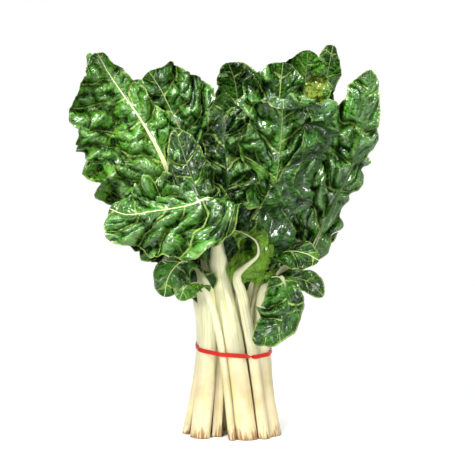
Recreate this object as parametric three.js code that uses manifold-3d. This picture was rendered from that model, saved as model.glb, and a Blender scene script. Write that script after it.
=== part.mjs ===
// A bunch of white-stalked chard, standing on its splayed cut ends and tied by one rubber band.
// Millimetres, +Z up, +X to the right and +Y away from the viewer.
// Each leaf grew as one piece, so its stalk, midrib and blade are one closed body.

import * as THREE from 'three';
import Module from 'manifold-3d';

const wasm = await Module();
wasm.setup();

// ---------------------------------------------------------------- driving dimensions
const GAP = 0.35;                   // clearance kept between neighbouring pieces
const BLADE_THICKNESS = 1.6;        // blade away from its margin
const MARGIN_THICKNESS = 0.8;       // blade at its margin
const MARGIN_START = 1.5;           // least half-width of a blade, at its foot and its tip
const STALK_ROWS = 5;               // lengths that a bare stalk is divided into
const WING_COLUMNS = 3;             // columns across half a blade
const WING_STEPS = 12;              // steps that follow the bend across half a blade
const SMALLEST_RIB = 0.9;           // half-width of the midrib at the tip
const STALK_FLARE = 0.12;           // how much wider a stalk is at its cut end
const WIDEST_AT = 0.56;             // where a blade is widest, from its foot to its tip
const TIP_POINT = 0.55;             // 0.5 is a round tip, and more is more pointed
const FOLD_SPAN = 0.2;              // share of a half-blade that a fold is bent over
const FOOT_FULLNESS = 0.85;         // below 1, a blade widens sooner from its foot
const LOBE_SIZE = 0.06;             // waves of the margin, as a share of a blade's width
const LOBES_PER_WAVE = 1.7;         // their number to each wave of the ruffle
const SECOND_WAVE = 0.45;           // smaller ruffle on top of the first, as a share of it
const SECOND_RATE = 2.3;            // its waves to each wave of the first
const RUFFLE_RISE = [1.1, 0.05];    // how soon along a blade the ruffle reaches its full swing
const HALVES_APART = 0.37;          // part of a wave between the ruffles of the two half-blades
const CURL_POWER = 1.5;             // above 1, a blade curls more towards its margin
const RUFFLE_POWER = 1.3;           // above 1, a blade ruffles more towards its margin
const RIB_TAPER = 1.5;              // above 1, a midrib narrows sooner
const RIB_THINNING = 1.3;           // above 1, a midrib thins sooner
const TIP_CROWDING = 0.55;          // how strongly the sections gather towards the tip
const LAST_SECTION = 0.99;          // share of the length at which the last section stands
const CURVE_SAMPLES = 400;          // samples that measure a midrib's length
const SMALLEST_STEP = 0.1;          // finest detail kept after a cut
const BAND_Z = 99;                  // height of the rubber band's middle
const BAND_SLOPE = [-0.09, 0.02];   // rise of the band along +X and +Y
const BAND_HEIGHT = 5;
const BAND_THICKNESS = 1.2;
const BAND_CLEARANCE = 0.35;        // between the band and the stalks under it
const BAND_REACH = 8;               // stalk length, above and below, that the band clears
const BUNDLE_RADIUS = 56;           // no stalk is farther from the middle where the band holds it

const LEAF_COLOUR = 0x2c6428;
const BAND_COLOUR = 0xd9302c;

// Section of a stalk and midrib: across as a share of the half-width, up as a share of the thickness.
const UPPER_SECTION = [[0, 0]];
const LOWER_SECTION = [[0.7, -0.7], [0, -1], [-0.7, -0.7]];

// ---------------------------------------------------------------- the leaves, foremost first
// path: the midrib from the cut end to the tip.
// faces: where the upper face looks along it.
// stalk: width and thickness.
// foot: share of the length where the blade begins.
// left, right: width of each half-blade, then its opening and curl in degrees
// at the foot, the middle and the tip.
// fold: degrees that a half-blade is folded over by, and where at the foot and at the tip,
// as shares of its width.
// ruffle: degrees, number of waves and where they start.
// widest, point, columns: a leaf's own values in place of WIDEST_AT, TIP_POINT and WING_COLUMNS.
const LEAVES = [
  {
    name: 'leaf_front_flop',
    path: [[19, -40, 0], [6, -33, 100], [-12, -36, 195], [-15, -54, 246], [-19, -76, 279],
      [-44, -95, 273], [-82, -100, 267], [-112, -93, 263], [-131, -80, 268]],
    faces: [[0, 1, 0], [0, 1, 0], [0, 1, 0.1], [0, 0.9, 0.4], [0.1, 0.1, 1],
      [0.1, -0.75, 0.6], [0, -0.9, 0.4], [0, -0.95, 0.3], [0.1, -0.95, 0.2]],
    stalk: [22, 9], foot: 0.49, rows: 11,
    left: { width: 54, open: [-10, 0, 0], curl: [0, -10, -10] },
    right: { width: 46, open: [0, 0, 0], curl: [0, -20, -20] },
    ruffle: [35, 4.2, 0.3],
  },
  {
    name: 'leaf_front_kink',
    path: [[39, -37, 0], [25.5, -32, 100], [14, -42, 165], [8, -53, 190], [17, -65, 202],
      [31, -72, 216], [29, -76, 231], [14, -75, 241], [1, -69, 244]],
    faces: [[0, 1, 0], [0, 1, 0], [0, 1, 0.1], [0, 1, 0.1], [0, 1, 0.2],
      [0, 1, 0], [0, 1, 0], [0, 1, -0.2], [0, 1, -0.2]],
    stalk: [12, 7], foot: 0.64, widest: 0.25, rows: 9,
    left: { width: 50, open: [0, 60, 140], curl: [0, 0, 0] },
    right: { width: 18, open: [60, 80, 110], curl: [0, 0, 0] },
    ruffle: [14, 2, 0.1],
  },
  {
    name: 'leaf_front_hanging_right',
    path: [[48, -25, 0], [34, -20, 100], [39, -27, 160], [50, -41, 185], [58, -55, 188],
      [63, -65, 172], [62, -68, 150], [48, -72, 130], [26, -70, 118]],
    faces: [[-0.5, 0.9, 0], [-0.5, 0.9, 0], [-0.4, 0.9, 0.2], [-0.2, 0.4, 1], [0.2, -0.6, 1],
      [0.1, -1, 0.1], [0.05, -1, 0.1], [0, -1, 0.2], [0, -1, 0.2]],
    stalk: [20, 8], foot: 0.64, rows: 9,
    left: { width: 17, open: [0, 0, 0], curl: [0, -20, 0] },
    right: { width: 27, open: [0, 0, 0], curl: [0, -20, 0] },
    ruffle: [26, 2.9, 0.6],
  },
  {
    name: 'leaf_front_hanging_left',
    path: [[-34, -32, 0], [-24.5, -25, 100], [-27, -34, 165], [-36, -46, 198], [-53, -56, 206],
      [-67, -60, 192], [-73, -58, 167]],
    faces: [[0.5, 0.9, 0], [0.5, 0.9, 0], [0.4, 0.9, 0.3], [0.1, 0.2, 1], [-0.3, -0.5, 1],
      [-0.1, -1, 0.1], [0, -1, 0]],
    stalk: [22, 9], foot: 0.64, rows: 9,
    left: { width: 26, open: [-10, 0, 0], curl: [0, -10, 0] },
    right: { width: 20, open: [0, 0, 0], curl: [0, -20, -20] },
    ruffle: [26, 2.9, 0.9],
  },
  {
    name: 'leaf_front_small',
    path: [[3, -44, 0], [-9, -38, 100], [-22, -47, 160], [-34, -57, 182], [-48, -63, 180],
      [-56, -63, 164]],
    faces: [[0, 1, 0], [0, 1, 0], [0.2, 1, 0.1], [0.2, 0.2, 1], [-0.2, -0.9, 0.4], [0, -1, 0]],
    stalk: [8, 6], foot: 0.78, rows: 7,
    left: { width: 16, open: [0, 0, 0], curl: [0, 10, 0] },
    right: { width: 14, open: [0, 0, 0], curl: [0, -10, 0] },
    ruffle: [15, 1.5, 0.2],
  },
  {
    name: 'leaf_right_small',
    path: [[33, -19, 0], [26, -14, 100], [31, -15, 160], [46, -19, 179], [70, -26, 184],
      [90, -31, 179], [106, -31, 163]],
    faces: [[0, 1, 0], [0, 1, 0], [-0.3, 0.8, 0.5], [-0.2, 0, 1], [0, -0.6, 0.8],
      [0.2, -0.8, 0.4], [0.3, -0.9, 0.1]],
    stalk: [9, 6], foot: 0.7, rows: 8,
    left: { width: 15, open: [0, 0, 0], curl: [0, 0, 0] },
    right: { width: 14, open: [0, 10, 0], curl: [0, 0, 0] },
    ruffle: [16, 1.5, 0.7],
  },
  {
    name: 'leaf_centre_cup',
    path: [[5, -30, 0], [6, -24, 100], [18, -27, 190], [37, -34, 228], [46, -38, 255],
      [52, -42, 295], [56, -46, 335], [58, -52, 368], [58, -62, 384], [58, -74, 386], [58, -82, 376]],
    faces: [[0, -1, 0], [0, -1, 0], [0, -1, 0.2], [-0.1, -1, 0.2], [-0.1, -1, 0.1], [0, -1, 0.1],
      [0, -1, 0], [0, -0.8, -0.6], [0, -0.3, -1], [0, 0.5, -0.9], [0, 0.9, -0.4]],
    stalk: [13, 8], foot: 0.4, widest: 0.72, rows: 20, columns: 6,
    left: { width: 34, open: [0, 10, 0], curl: [0, 60, 10] },
    right: { width: 96, open: [5, 5, 5], curl: [0, 0, 0], fold: [165, 0.18, 0.74] },
    ruffle: [12, 3, 0.5],
  },
  {
    name: 'leaf_centre_dark',
    path: [[29, -6, 0], [24, -4, 100], [32, -12, 170], [44, -26, 200], [62, -38, 215],
      [84, -44, 214], [100, -44, 206]],
    faces: [[0, 1, 0], [0, 1, 0], [-0.2, 0.8, 0.5], [-0.2, 0, 1], [0, -0.5, 1],
      [0, -0.8, 0.6], [0.1, -0.9, 0.4]],
    stalk: [10, 6], foot: 0.64, rows: 9,
    left: { width: 20, open: [0, 0, 0], curl: [0, -10, 0] },
    right: { width: 26, open: [0, 0, 0], curl: [10, 0, 0] },
    ruffle: [29, 2.6, 0.4],
  },
  {
    name: 'leaf_right_tall',
    path: [[48, 3, 0], [38.5, 2, 100], [46, 0, 165], [66, -4, 190], [90, -6, 208],
      [109, -8, 248], [124, -8, 280], [140, -8, 316], [151, -8, 364], [158, -6, 398], [159, -4, 418]],
    faces: [[-1, 0, 0], [-1, 0, 0], [-0.9, -0.2, 0.3], [-0.6, -0.6, 0.5], [-0.5, -0.8, 0.3],
      [-0.3, -0.95, 0.1], [-0.2, -0.98, 0.1], [-0.15, -0.98, 0.1], [-0.15, -0.98, 0.1],
      [-0.2, -0.95, 0], [-0.2, -0.95, 0]],
    stalk: [20, 9], foot: 0.45, point: 0.6, widest: 0.42, rows: 11,
    left: { width: 47, open: [10, 0, 10], curl: [10, 10, 20] },
    right: { width: 24, open: [-50, -40, -10], curl: [-30, -20, 0] },
    ruffle: [24, 4.2, 0.8],
  },
  {
    name: 'leaf_left_big',
    path: [[-18, -9, 0], [-14, -8, 100], [-18, -8, 190], [-38, -8, 250], [-64, -12, 292],
      [-82, -15, 330], [-104, -18, 368], [-122, -22, 394], [-136, -27, 416], [-145, -36, 434],
      [-147, -50, 436]],
    faces: [[0.8, -0.5, 0], [0.8, -0.5, 0], [0.6, -0.8, 0.1], [0.3, -0.95, 0.2],
      [0.25, -0.95, 0.2], [0.25, -0.95, 0.15], [0.25, -0.95, 0.1], [0.25, -0.95, 0],
      [0.3, -0.9, -0.3], [0.3, -0.5, -0.9], [0.3, 0.3, -1]],
    stalk: [18, 8], foot: 0.42, point: 0.72, widest: 0.45, rows: 11,
    left: { width: 84, open: [10, 0, 10], curl: [0, -10, 30] },
    right: { width: 27, open: [10, 0, 10], curl: [0, 0, 20] },
    ruffle: [30, 4.2, 0.15],
  },
  {
    name: 'leaf_left_low',
    path: [[-48, -12, 0], [-31, -8, 100], [-37, -12, 165], [-56, -22, 202], [-80, -31, 230],
      [-106, -37, 248], [-126, -41, 264]],
    faces: [[1, 0, 0], [1, 0, 0], [0.9, -0.3, 0.3], [0.5, -0.6, 0.7], [0.3, -0.8, 0.6],
      [0.3, -0.9, 0.5], [0.4, -0.9, 0.3]],
    stalk: [17, 8], foot: 0.5, rows: 11,
    left: { width: 30, open: [0, -10, 0], curl: [0, -20, 0] },
    right: { width: 40, open: [0, 0, 0], curl: [0, 0, 0] },
    ruffle: [28, 3.4, 0.35],
  },
  {
    name: 'leaf_left_upright',
    path: [[-15, 17, 0], [-12, 13.5, 100], [-10, 20, 190], [-20, 27, 250], [-42, 30, 312],
      [-64, 28, 362], [-80, 20, 396], [-92, 8, 416]],
    faces: [[0, -1, 0], [0, -1, 0], [0, -1, 0.1], [0.15, -1, 0.1], [0.15, -1, 0.1],
      [0.15, -1, 0.05], [0.15, -1, -0.2], [0.15, -1, -0.4]],
    stalk: [17, 8], foot: 0.42, rows: 11,
    left: { width: 46, open: [0, -10, 0], curl: [0, -20, 0] },
    right: { width: 60, open: [10, 5, 0], curl: [0, -20, -10] },
    ruffle: [35, 4.4, 0.65],
  },
  {
    name: 'leaf_top_centre',
    path: [[21, 8, 0], [17, 6, 100], [21, 13, 190], [32, 15, 260], [45, 14, 322], [55, 11, 372],
      [58, 5, 405], [60, -6, 426]],
    faces: [[0, -1, 0], [0, -1, 0], [0, -1, 0.1], [-0.05, -1, 0.1], [-0.05, -1, 0.05],
      [0, -1, 0], [0, -1, -0.3], [0, -0.9, -0.6]],
    stalk: [17, 8], foot: 0.42, rows: 11,
    left: { width: 58, open: [10, 5, 5], curl: [0, -10, -20] },
    right: { width: 44, open: [10, 5, 5], curl: [0, -10, -20] },
    ruffle: [32, 4.5, 0.25],
  },
  {
    name: 'leaf_centre_left',
    path: [[-15, -33, 0], [-11, -27, 100], [-13, -24, 190], [-25, -26, 250], [-46, -20, 305],
      [-62, -8, 352]],
    faces: [[0, -1, 0], [0, -1, 0], [0, -1, 0.1], [0.1, -1, 0.1], [0.1, -1, 0.1], [0.1, -1, 0.1]],
    stalk: [10, 6], foot: 0.5, rows: 9,
    left: { width: 22, open: [10, 10, 0], curl: [0, 10, 0] },
    right: { width: 28, open: [10, 10, 0], curl: [0, 10, 0] },
    ruffle: [32, 3.1, 0.45],
  },
  {
    name: 'leaf_centre_narrow',
    path: [[0, -3.6, 0], [-1.5, 4, 100], [0, 4, 190], [-2, 0, 260], [-5, -4, 320], [-8, -8, 372],
      [-6, -16, 392]],
    faces: [[0, -1, 0], [0, -1, 0], [0, -1, 0.1], [0, -1, 0.1], [0, -1, 0.1], [0, -1, 0],
      [0, -0.8, -0.6]],
    stalk: [15, 7], foot: 0.5, rows: 11,
    left: { width: 24, open: [20, 25, 10], curl: [0, 20, 0] },
    right: { width: 34, open: [20, 25, 10], curl: [0, 20, 0] },
    ruffle: [35, 4.4, 0.85],
  },
  {
    name: 'leaf_top_right',
    path: [[25, 21, 0], [20, 16.5, 100], [28, 28, 190], [50, 36, 270], [74, 38, 345],
      [87, 30, 408], [89, 12, 440]],
    faces: [[-0.1, -1, 0], [-0.1, -1, 0], [-0.2, -1, 0.1], [-0.2, -0.95, 0.2], [-0.2, -0.95, 0.1],
      [-0.1, -1, -0.3], [0, -0.7, -0.8]],
    stalk: [15, 8], foot: 0.42, rows: 11,
    left: { width: 44, open: [5, 5, 5], curl: [0, 0, 0] },
    right: { width: 42, open: [5, 5, 5], curl: [0, 0, 0] },
    ruffle: [38, 4.5, 0.55],
  },
  {
    name: 'leaf_back_tip',
    path: [[-2, 30, 0], [-2, 23, 100], [3, 35, 190], [8, 58, 280], [10, 68, 350], [6, 60, 402],
      [-2, 44, 426]],
    faces: [[0, -1, 0], [0, -1, 0], [0, -1, 0.2], [-0.1, -1, 0.1], [-0.1, -1, 0],
      [0, -0.9, -0.4], [0, -0.6, -0.8]],
    stalk: [15, 7.5], foot: 0.44, rows: 10,
    left: { width: 36, open: [5, 5, 0], curl: [0, 0, -20] },
    right: { width: 42, open: [5, 5, 0], curl: [0, 0, -20] },
    ruffle: [35, 3.9, 0.05],
  },
  {
    name: 'leaf_back_right_tip',
    path: [[42, 26, 0], [31, 19, 100], [39, 32, 185], [66, 54, 268], [98, 62, 350], [114, 58, 412],
      [120, 48, 446]],
    faces: [[-0.7, -0.7, 0], [-0.7, -0.7, 0], [-0.7, -0.7, 0.1], [-0.6, -0.8, 0.2],
      [-0.6, -0.8, 0.2], [-0.6, -0.8, 0.1], [-0.6, -0.8, 0]],
    stalk: [17, 8], foot: 0.44, point: 0.35, rows: 11,
    left: { width: 24, open: [20, 30, 20], curl: [0, 20, 0] },
    right: { width: 22, open: [10, 10, 10], curl: [0, 0, 0] },
    ruffle: [32, 3.9, 0.75],
  },
  {
    name: 'leaf_far_right',
    path: [[38, 11, 0], [29, 8, 100], [42, 17, 175], [70, 36, 212], [94, 52, 230], [108, 66, 226],
      [112, 74, 208]],
    faces: [[-0.8, -0.5, 0], [-0.8, -0.5, 0], [-0.8, -0.5, 0.3], [-0.5, -0.6, 0.7],
      [-0.2, -0.3, 1], [0.3, 0.1, 1], [0.9, 0.3, 0.3]],
    stalk: [12, 6.5], foot: 0.56, rows: 10,
    left: { width: 34, open: [0, 0, 0], curl: [0, -10, 0] },
    right: { width: 34, open: [0, 0, 0], curl: [0, -10, 0] },
    ruffle: [35, 3.4, 0.95],
  },
  {
    name: 'leaf_far_left',
    path: [[-46, 9, 0], [-31, 8, 100], [-38, 14, 175], [-64, 28, 212], [-92, 46, 242],
      [-112, 60, 258], [-124, 70, 254]],
    faces: [[1, 0.2, 0], [1, 0.2, 0], [0.9, -0.2, 0.3], [0.5, -0.6, 0.7], [0.2, -0.3, 1],
      [-0.3, 0.1, 1], [-0.9, 0.4, 0.3]],
    stalk: [13, 7], foot: 0.56, rows: 10,
    left: { width: 34, open: [0, 0, 0], curl: [0, -10, 0] },
    right: { width: 32, open: [0, 0, 0], curl: [0, -10, 0] },
    ruffle: [35, 3.4, 0.35],
  },
  {
    name: 'leaf_back_middle',
    path: [[-8, 44, 0], [-8, 33, 100], [-10, 48, 185], [-19, 86, 260], [-28, 119, 320],
      [-35, 141, 343], [-39, 156, 334]],
    faces: [[0, -1, 0], [0, -1, 0], [0, -1, 0.2], [0.1, -0.9, 0.5], [0.1, -0.7, 0.8],
      [0.1, -0.4, 1], [0.1, 0, 1]],
    stalk: [20, 9], foot: 0.44, rows: 10,
    left: { width: 56, open: [5, 0, 0], curl: [0, -10, 0] },
    right: { width: 54, open: [5, 0, 0], curl: [0, -10, 0] },
    ruffle: [38, 4.4, 0.45],
  },
  {
    name: 'leaf_back_right',
    path: [[18, 42, 0], [14, 32, 100], [24, 44, 185], [58, 72, 258], [88, 98, 308],
      [104, 116, 320], [112, 130, 298]],
    faces: [[0, -1, 0], [0, -1, 0], [0, -1, 0.2], [-0.1, -0.9, 0.5], [-0.1, -0.7, 0.8],
      [-0.1, 0.2, 1], [0, 0.9, 0.5]],
    stalk: [19, 9], foot: 0.44, rows: 10,
    left: { width: 52, open: [5, 0, 0], curl: [0, -10, 0] },
    right: { width: 56, open: [5, 0, 0], curl: [0, -10, 0] },
    ruffle: [38, 4.7, 0.2],
  },
  {
    name: 'leaf_back_left',
    path: [[-33, 33, 0], [-24, 22, 100], [-31, 36, 185], [-56, 60, 258], [-86, 74, 325],
      [-108, 78, 378], [-118, 72, 404]],
    faces: [[0.6, -0.8, 0], [0.6, -0.8, 0], [0.6, -0.8, 0.2], [0.5, -0.8, 0.4], [0.5, -0.8, 0.4],
      [0.5, -0.8, 0.2], [0.5, -0.8, 0]],
    stalk: [18, 8], foot: 0.44, rows: 10,
    left: { width: 52, open: [5, 0, 0], curl: [0, -10, 0] },
    right: { width: 54, open: [5, 0, 0], curl: [0, -10, 0] },
    ruffle: [38, 4.7, 0.7],
  },
];

// ---------------------------------------------------------------- shape of one leaf
const toVectors = (rows) => rows.map(([x, y, z]) => new THREE.Vector3(x, y, z));
const degrees = THREE.MathUtils.degToRad;
const smooth = (t) => t * t * (3 - 2 * t);
const mix = THREE.MathUtils.lerp;
const TURN = 2 * Math.PI;

// The value at t of one that is given at the foot, the middle and the tip.
function along([foot, middle, tip], t) {
  return t < 0.5 ? mix(foot, middle, smooth(2 * t)) : mix(middle, tip, smooth(2 * t - 1));
}

// Half-width of a blade as a share of its greatest.
function outline(leaf, t) {
  const widest = leaf.widest ?? WIDEST_AT;
  const rise = Math.max(0, 1 - (1 - t / widest) ** 2) ** FOOT_FULLNESS;
  const fall = Math.max(0, 1 - ((t - widest) / (1 - widest)) ** 2) ** (leaf.point ?? TIP_POINT);
  return t < widest ? rise : fall;
}

// Places along the midrib with the directions along it, out of its upper face and to its right.
function ribRows(leaf) {
  const path = new THREE.CatmullRomCurve3(toVectors(leaf.path), false, 'centripetal');
  const faces = new THREE.CatmullRomCurve3(toVectors(leaf.faces), false, 'centripetal');
  path.arcLengthDivisions = CURVE_SAMPLES;
  const rows = [];
  for (let i = 0; i <= STALK_ROWS + leaf.rows; i += 1) {
    const t = Math.max(0, (i - STALK_ROWS) / leaf.rows);
    const finer = mix(t, Math.sin(t * Math.PI / 2), TIP_CROWDING);
    const share = i < STALK_ROWS ? leaf.foot * i / STALK_ROWS : mix(leaf.foot, LAST_SECTION, finer);
    const u = path.getUtoTmapping(share);
    const tangent = path.getTangent(u);
    const face = faces.getPoint(u);
    const normal = face.clone().addScaledVector(tangent, -face.dot(tangent)).normalize();
    const side = new THREE.Vector3().crossVectors(tangent, normal);
    const place = { point: path.getPoint(u), tangent, normal, side };
    rows.push({ ...place, share, t: Math.max(0, (share - leaf.foot) / (1 - leaf.foot)) });
  }
  return rows;
}

// Half-width and thickness of the stalk, and of the midrib that it runs out into.
function ribSize(leaf, row) {
  const [width, thickness] = leaf.stalk;
  if (row.t <= 0) {
    const flare = 1 + STALK_FLARE * (1 - row.share / leaf.foot) ** 2;
    return [width / 2 * flare, thickness];
  }
  const thin = 1 - row.t;
  const half = mix(SMALLEST_RIB, width / 2, thin ** RIB_TAPER);
  return [half, mix(BLADE_THICKNESS, thickness, thin ** RIB_THINNING)];
}

// Points across half a blade, each with the direction out of its upper face.
function wing(leaf, row, hand, half, grow) {
  const shape = hand > 0 ? leaf.right : leaf.left;
  const [swing, waves, start] = leaf.ruffle;
  const beat = TURN * (start + (hand > 0 ? HALVES_APART : 0));
  const phase = TURN * waves * row.t;
  const lobes = 1 + LOBE_SIZE * Math.sin(LOBES_PER_WAVE * phase + 2 * beat);
  const width = Math.max(MARGIN_START, shape.width * outline(leaf, row.t) * lobes) + grow;
  const wave = Math.sin(phase + beat) + SECOND_WAVE * Math.sin(SECOND_RATE * phase + 3 * beat);
  const risen = Math.min(1, RUFFLE_RISE[0] * row.t + RUFFLE_RISE[1]);
  const ruffle = degrees(swing) * wave * Math.sin(Math.PI * risen);
  const opening = degrees(along(shape.open, row.t));
  const curl = degrees(along(shape.curl, row.t));
  const [folded, ...creases] = shape.fold ?? [0, 0, 0];
  const crease = mix(...creases, row.t);
  const columnCount = leaf.columns ?? WING_COLUMNS;
  const place = row.point.clone().addScaledVector(row.side, hand * half);
  const columns = [];
  for (let k = 1; k <= WING_STEPS; k += 1) {
    const v = (k - 0.5) / WING_STEPS;
    const over = degrees(folded) * smooth(THREE.MathUtils.clamp((v - crease) / FOLD_SPAN + 0.5, 0, 1));
    const angle = opening + curl * v ** CURL_POWER + over + ruffle * v ** RUFFLE_POWER;
    place.addScaledVector(row.side, hand * Math.cos(angle) * width / WING_STEPS);
    place.addScaledVector(row.normal, Math.sin(angle) * width / WING_STEPS);
    if (k % (WING_STEPS / columnCount) === 0) {
      const up = row.normal.clone().multiplyScalar(Math.cos(angle));
      up.addScaledVector(row.side, -hand * Math.sin(angle));
      columns.push({ point: place.clone(), up });
    }
  }
  return columns;
}

// One leaf as a closed body, its surfaces moved out by grow.
function leafBody(leaf, grow = 0) {
  const points = [];
  const triangles = [];
  const add = (point) => points.push(point) - 1;
  const depth = BLADE_THICKNESS / 2 + grow;
  const rings = [];
  const stems = [];
  const turn = UPPER_SECTION.length + 2;
  const columnCount = leaf.columns ?? WING_COLUMNS;
  const rows = ribRows(leaf);
  rows[STALK_ROWS].point.addScaledVector(rows[STALK_ROWS].tangent, -grow);
  rows[rows.length - 1].point.addScaledVector(rows[rows.length - 1].tangent, grow);
  rows.forEach((row, i) => {
    const [half, thickness] = ribSize(leaf, row);
    const at = (across, up) => {
      const point = row.point.clone().addScaledVector(row.side, across).addScaledVector(row.normal, up);
      if (i === 0) {
        point.addScaledVector(row.tangent, -(point.z + grow) / row.tangent.z);
      }
      return add(point);
    };
    const section = ([across, up]) => {
      const skin = up < 0 ? -depth : depth;
      return at(across * (half + grow), up * thickness + skin);
    };
    const upper = UPPER_SECTION.map(section);
    const lower = LOWER_SECTION.map(section);
    const stem = [at(-half - grow, depth), ...upper, at(half + grow, depth),
      at(half + grow, -depth), ...lower, at(-half - grow, -depth)];
    if (i < STALK_ROWS) {
      rings.push(stem);
      stems.push(stem);
      return;
    }
    const blade = (hand) => {
      const columns = wing(leaf, row, hand, half, grow);
      const face = (sign) => columns.map(({ point, up }, k) => {
        const thin = (BLADE_THICKNESS - MARGIN_THICKNESS) / 2;
        const reach = k === columnCount - 1 ? depth - thin : depth;
        return add(point.clone().addScaledVector(up, sign * reach));
      });
      return [...face(1), ...face(-1).reverse()];
    };
    rings.push([...stem.slice(0, turn), ...blade(1), ...stem.slice(turn), ...blade(-1).reverse()]);
    stems.push(stem);
  });

  // Both skins of a blade are split along the same diagonals, so that they stay parallel.
  const strip = (near, far) => near.forEach((a, k) => {
    const next = (k + 1) % near.length;
    const rightUnder = k >= turn + columnCount && k < turn + 2 * columnCount;
    const leftOver = k >= near.length - columnCount;
    if (near.length > stems[0].length && (rightUnder || leftOver)) {
      triangles.push([a, near[next], far[k]], [near[next], far[next], far[k]]);
    } else {
      triangles.push([a, near[next], far[next]], [a, far[next], far[k]]);
    }
  });
  const cap = (loop, starts) => {
    const total = loop.reduce((sum, id) => sum.add(points[id]), new THREE.Vector3());
    const centre = add(total.divideScalar(loop.length));
    loop.forEach((a, k) => {
      const b = loop[(k + 1) % loop.length];
      triangles.push(starts ? [centre, b, a] : [centre, a, b]);
    });
  };
  for (let i = 1; i < rings.length; i += 1) {
    if (i <= STALK_ROWS) {
      strip(stems[i - 1], stems[i]);
    } else {
      strip(rings[i - 1], rings[i]);
    }
  }
  const footRing = rings[STALK_ROWS];
  const wingLength = 2 * columnCount;
  cap(footRing.slice(turn - 1, turn + wingLength + 1), true);
  cap([...footRing.slice(-wingLength - 1), footRing[0]], true);
  cap(rings[0], true);
  cap(rings[rings.length - 1], false);
  return toManifold(points, triangles);
}

// ---------------------------------------------------------------- solids
function toManifold(points, triangles) {
  const vertProperties = Float32Array.from(points.flatMap((point) => point.toArray()));
  const make = (list) => {
    const triVerts = Uint32Array.from(list.flat());
    return new wasm.Manifold(new wasm.Mesh({ numProp: 3, vertProperties, triVerts }));
  };
  const body = make(triangles);
  return body.volume() > 0 ? body : make(triangles.map(([a, b, c]) => [a, c, b]));
}

function toMesh(body, name, material) {
  const mesh = body.getMesh();
  const geometry = new THREE.BufferGeometry();
  const places = Float32Array.from(mesh.vertProperties);
  geometry.setAttribute('position', new THREE.BufferAttribute(places, 3));
  geometry.setIndex(Array.from(mesh.triVerts));
  geometry.computeVertexNormals();
  const result = new THREE.Mesh(geometry, material);
  result.name = name;
  return result;
}

// The leaf less its neighbours, without the loose chips that a cut can leave.
function trimmed(leaf, neighbours) {
  let body = leafBody(leaf);
  for (const other of neighbours) {
    body = body.subtract(other);
  }
  body = body.simplify(SMALLEST_STEP);
  const parts = body.decompose();
  parts.sort((a, b) => b.volume() - a.volume());
  return parts[0];
}

// ---------------------------------------------------------------- the rubber band
const bandMiddle = (x, y) => BAND_Z + BAND_SLOPE[0] * x + BAND_SLOPE[1] * y;

// Corners of every stalk near the band, seen from above.
function stalkPoints(bodies) {
  return bodies.flatMap((body) => {
    const above = body.trimByPlane([0, 0, 1], BAND_Z - BAND_REACH);
    const slice = above.trimByPlane([0, 0, -1], -BAND_Z - BAND_REACH).getMesh();
    const corners = [];
    for (let k = 0; k < slice.vertProperties.length; k += slice.numProp) {
      corners.push([slice.vertProperties[k], slice.vertProperties[k + 1]]);
    }
    return corners.filter(([x, y]) => Math.hypot(x, y) < BUNDLE_RADIUS);
  });
}

// The loop that a string pulled tight around the points would follow.
function tightLoop(points) {
  const sorted = [...points].sort((a, b) => a[0] - b[0] || a[1] - b[1]);
  const cross = (o, a, b) => (a[0] - o[0]) * (b[1] - o[1]) - (a[1] - o[1]) * (b[0] - o[0]);
  const chain = (list) => {
    const kept = [];
    for (const point of list) {
      while (kept.length > 1 && cross(kept[kept.length - 2], kept[kept.length - 1], point) <= 0) {
        kept.pop();
      }
      kept.push(point);
    }
    kept.pop();
    return kept;
  };
  return [...chain(sorted), ...chain(sorted.reverse())];
}

// The loop moved straight out by a distance, with points nearer than a millimetre joined.
function movedOut(loop, distance) {
  const spaced = loop.filter(([x, y], k) => {
    const [nextX, nextY] = loop[(k + 1) % loop.length];
    return Math.hypot(nextX - x, nextY - y) > 1;
  });
  const outward = (a, b) => new THREE.Vector2(b[1] - a[1], a[0] - b[0]).normalize();
  return spaced.map((point, k) => {
    const before = outward(spaced[(k + spaced.length - 1) % spaced.length], point);
    const after = outward(point, spaced[(k + 1) % spaced.length]);
    const out = before.clone().add(after).normalize();
    const reach = distance / out.dot(after);
    return [point[0] + out.x * reach, point[1] + out.y * reach];
  });
}

function bandBody(bodies) {
  const loop = tightLoop(stalkPoints(bodies));
  const inner = movedOut(loop, BAND_CLEARANCE);
  const outer = movedOut(loop, BAND_CLEARANCE + BAND_THICKNESS);
  const points = [];
  const triangles = [];
  inner.forEach(([x, y], k) => {
    const [farX, farY] = outer[k];
    const low = bandMiddle(x, y) - BAND_HEIGHT / 2;
    const high = low + BAND_HEIGHT;
    points.push(new THREE.Vector3(x, y, low), new THREE.Vector3(farX, farY, low));
    points.push(new THREE.Vector3(farX, farY, high), new THREE.Vector3(x, y, high));
    for (let j = 0; j < 4; j += 1) {
      const a = 4 * k + j;
      const b = 4 * k + (j + 1) % 4;
      const c = (b + 4) % (4 * inner.length);
      const d = (a + 4) % (4 * inner.length);
      triangles.push([a, b, c], [a, c, d]);
    }
  });
  return toManifold(points, triangles);
}

// ---------------------------------------------------------------- the bunch
const group = new THREE.Group();
group.name = 'chard_bunch';

const leafMaterial = new THREE.MeshStandardMaterial({ name: 'leaf', color: LEAF_COLOUR, roughness: 0.4 });
const bandMaterial = new THREE.MeshStandardMaterial({ name: 'band', color: BAND_COLOUR, roughness: 0.5 });

const placed = [];
const bodies = [];
for (const leaf of LEAVES) {
  const body = trimmed(leaf, placed);
  placed.push(leafBody(leaf, GAP));
  bodies.push(body);
  group.add(toMesh(body, leaf.name, leafMaterial.clone()));
}
group.add(toMesh(bandBody(bodies), 'rubber_band', bandMaterial));

export default group;
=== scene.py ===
"""A bunch of chard standing on its cut ends: 23 crinkled leaves and the rubber band round their stalks.

Shapes are worked out in millimetres, in the CAD model's frame, and scaled when each mesh is made.
"""

import math

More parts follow.
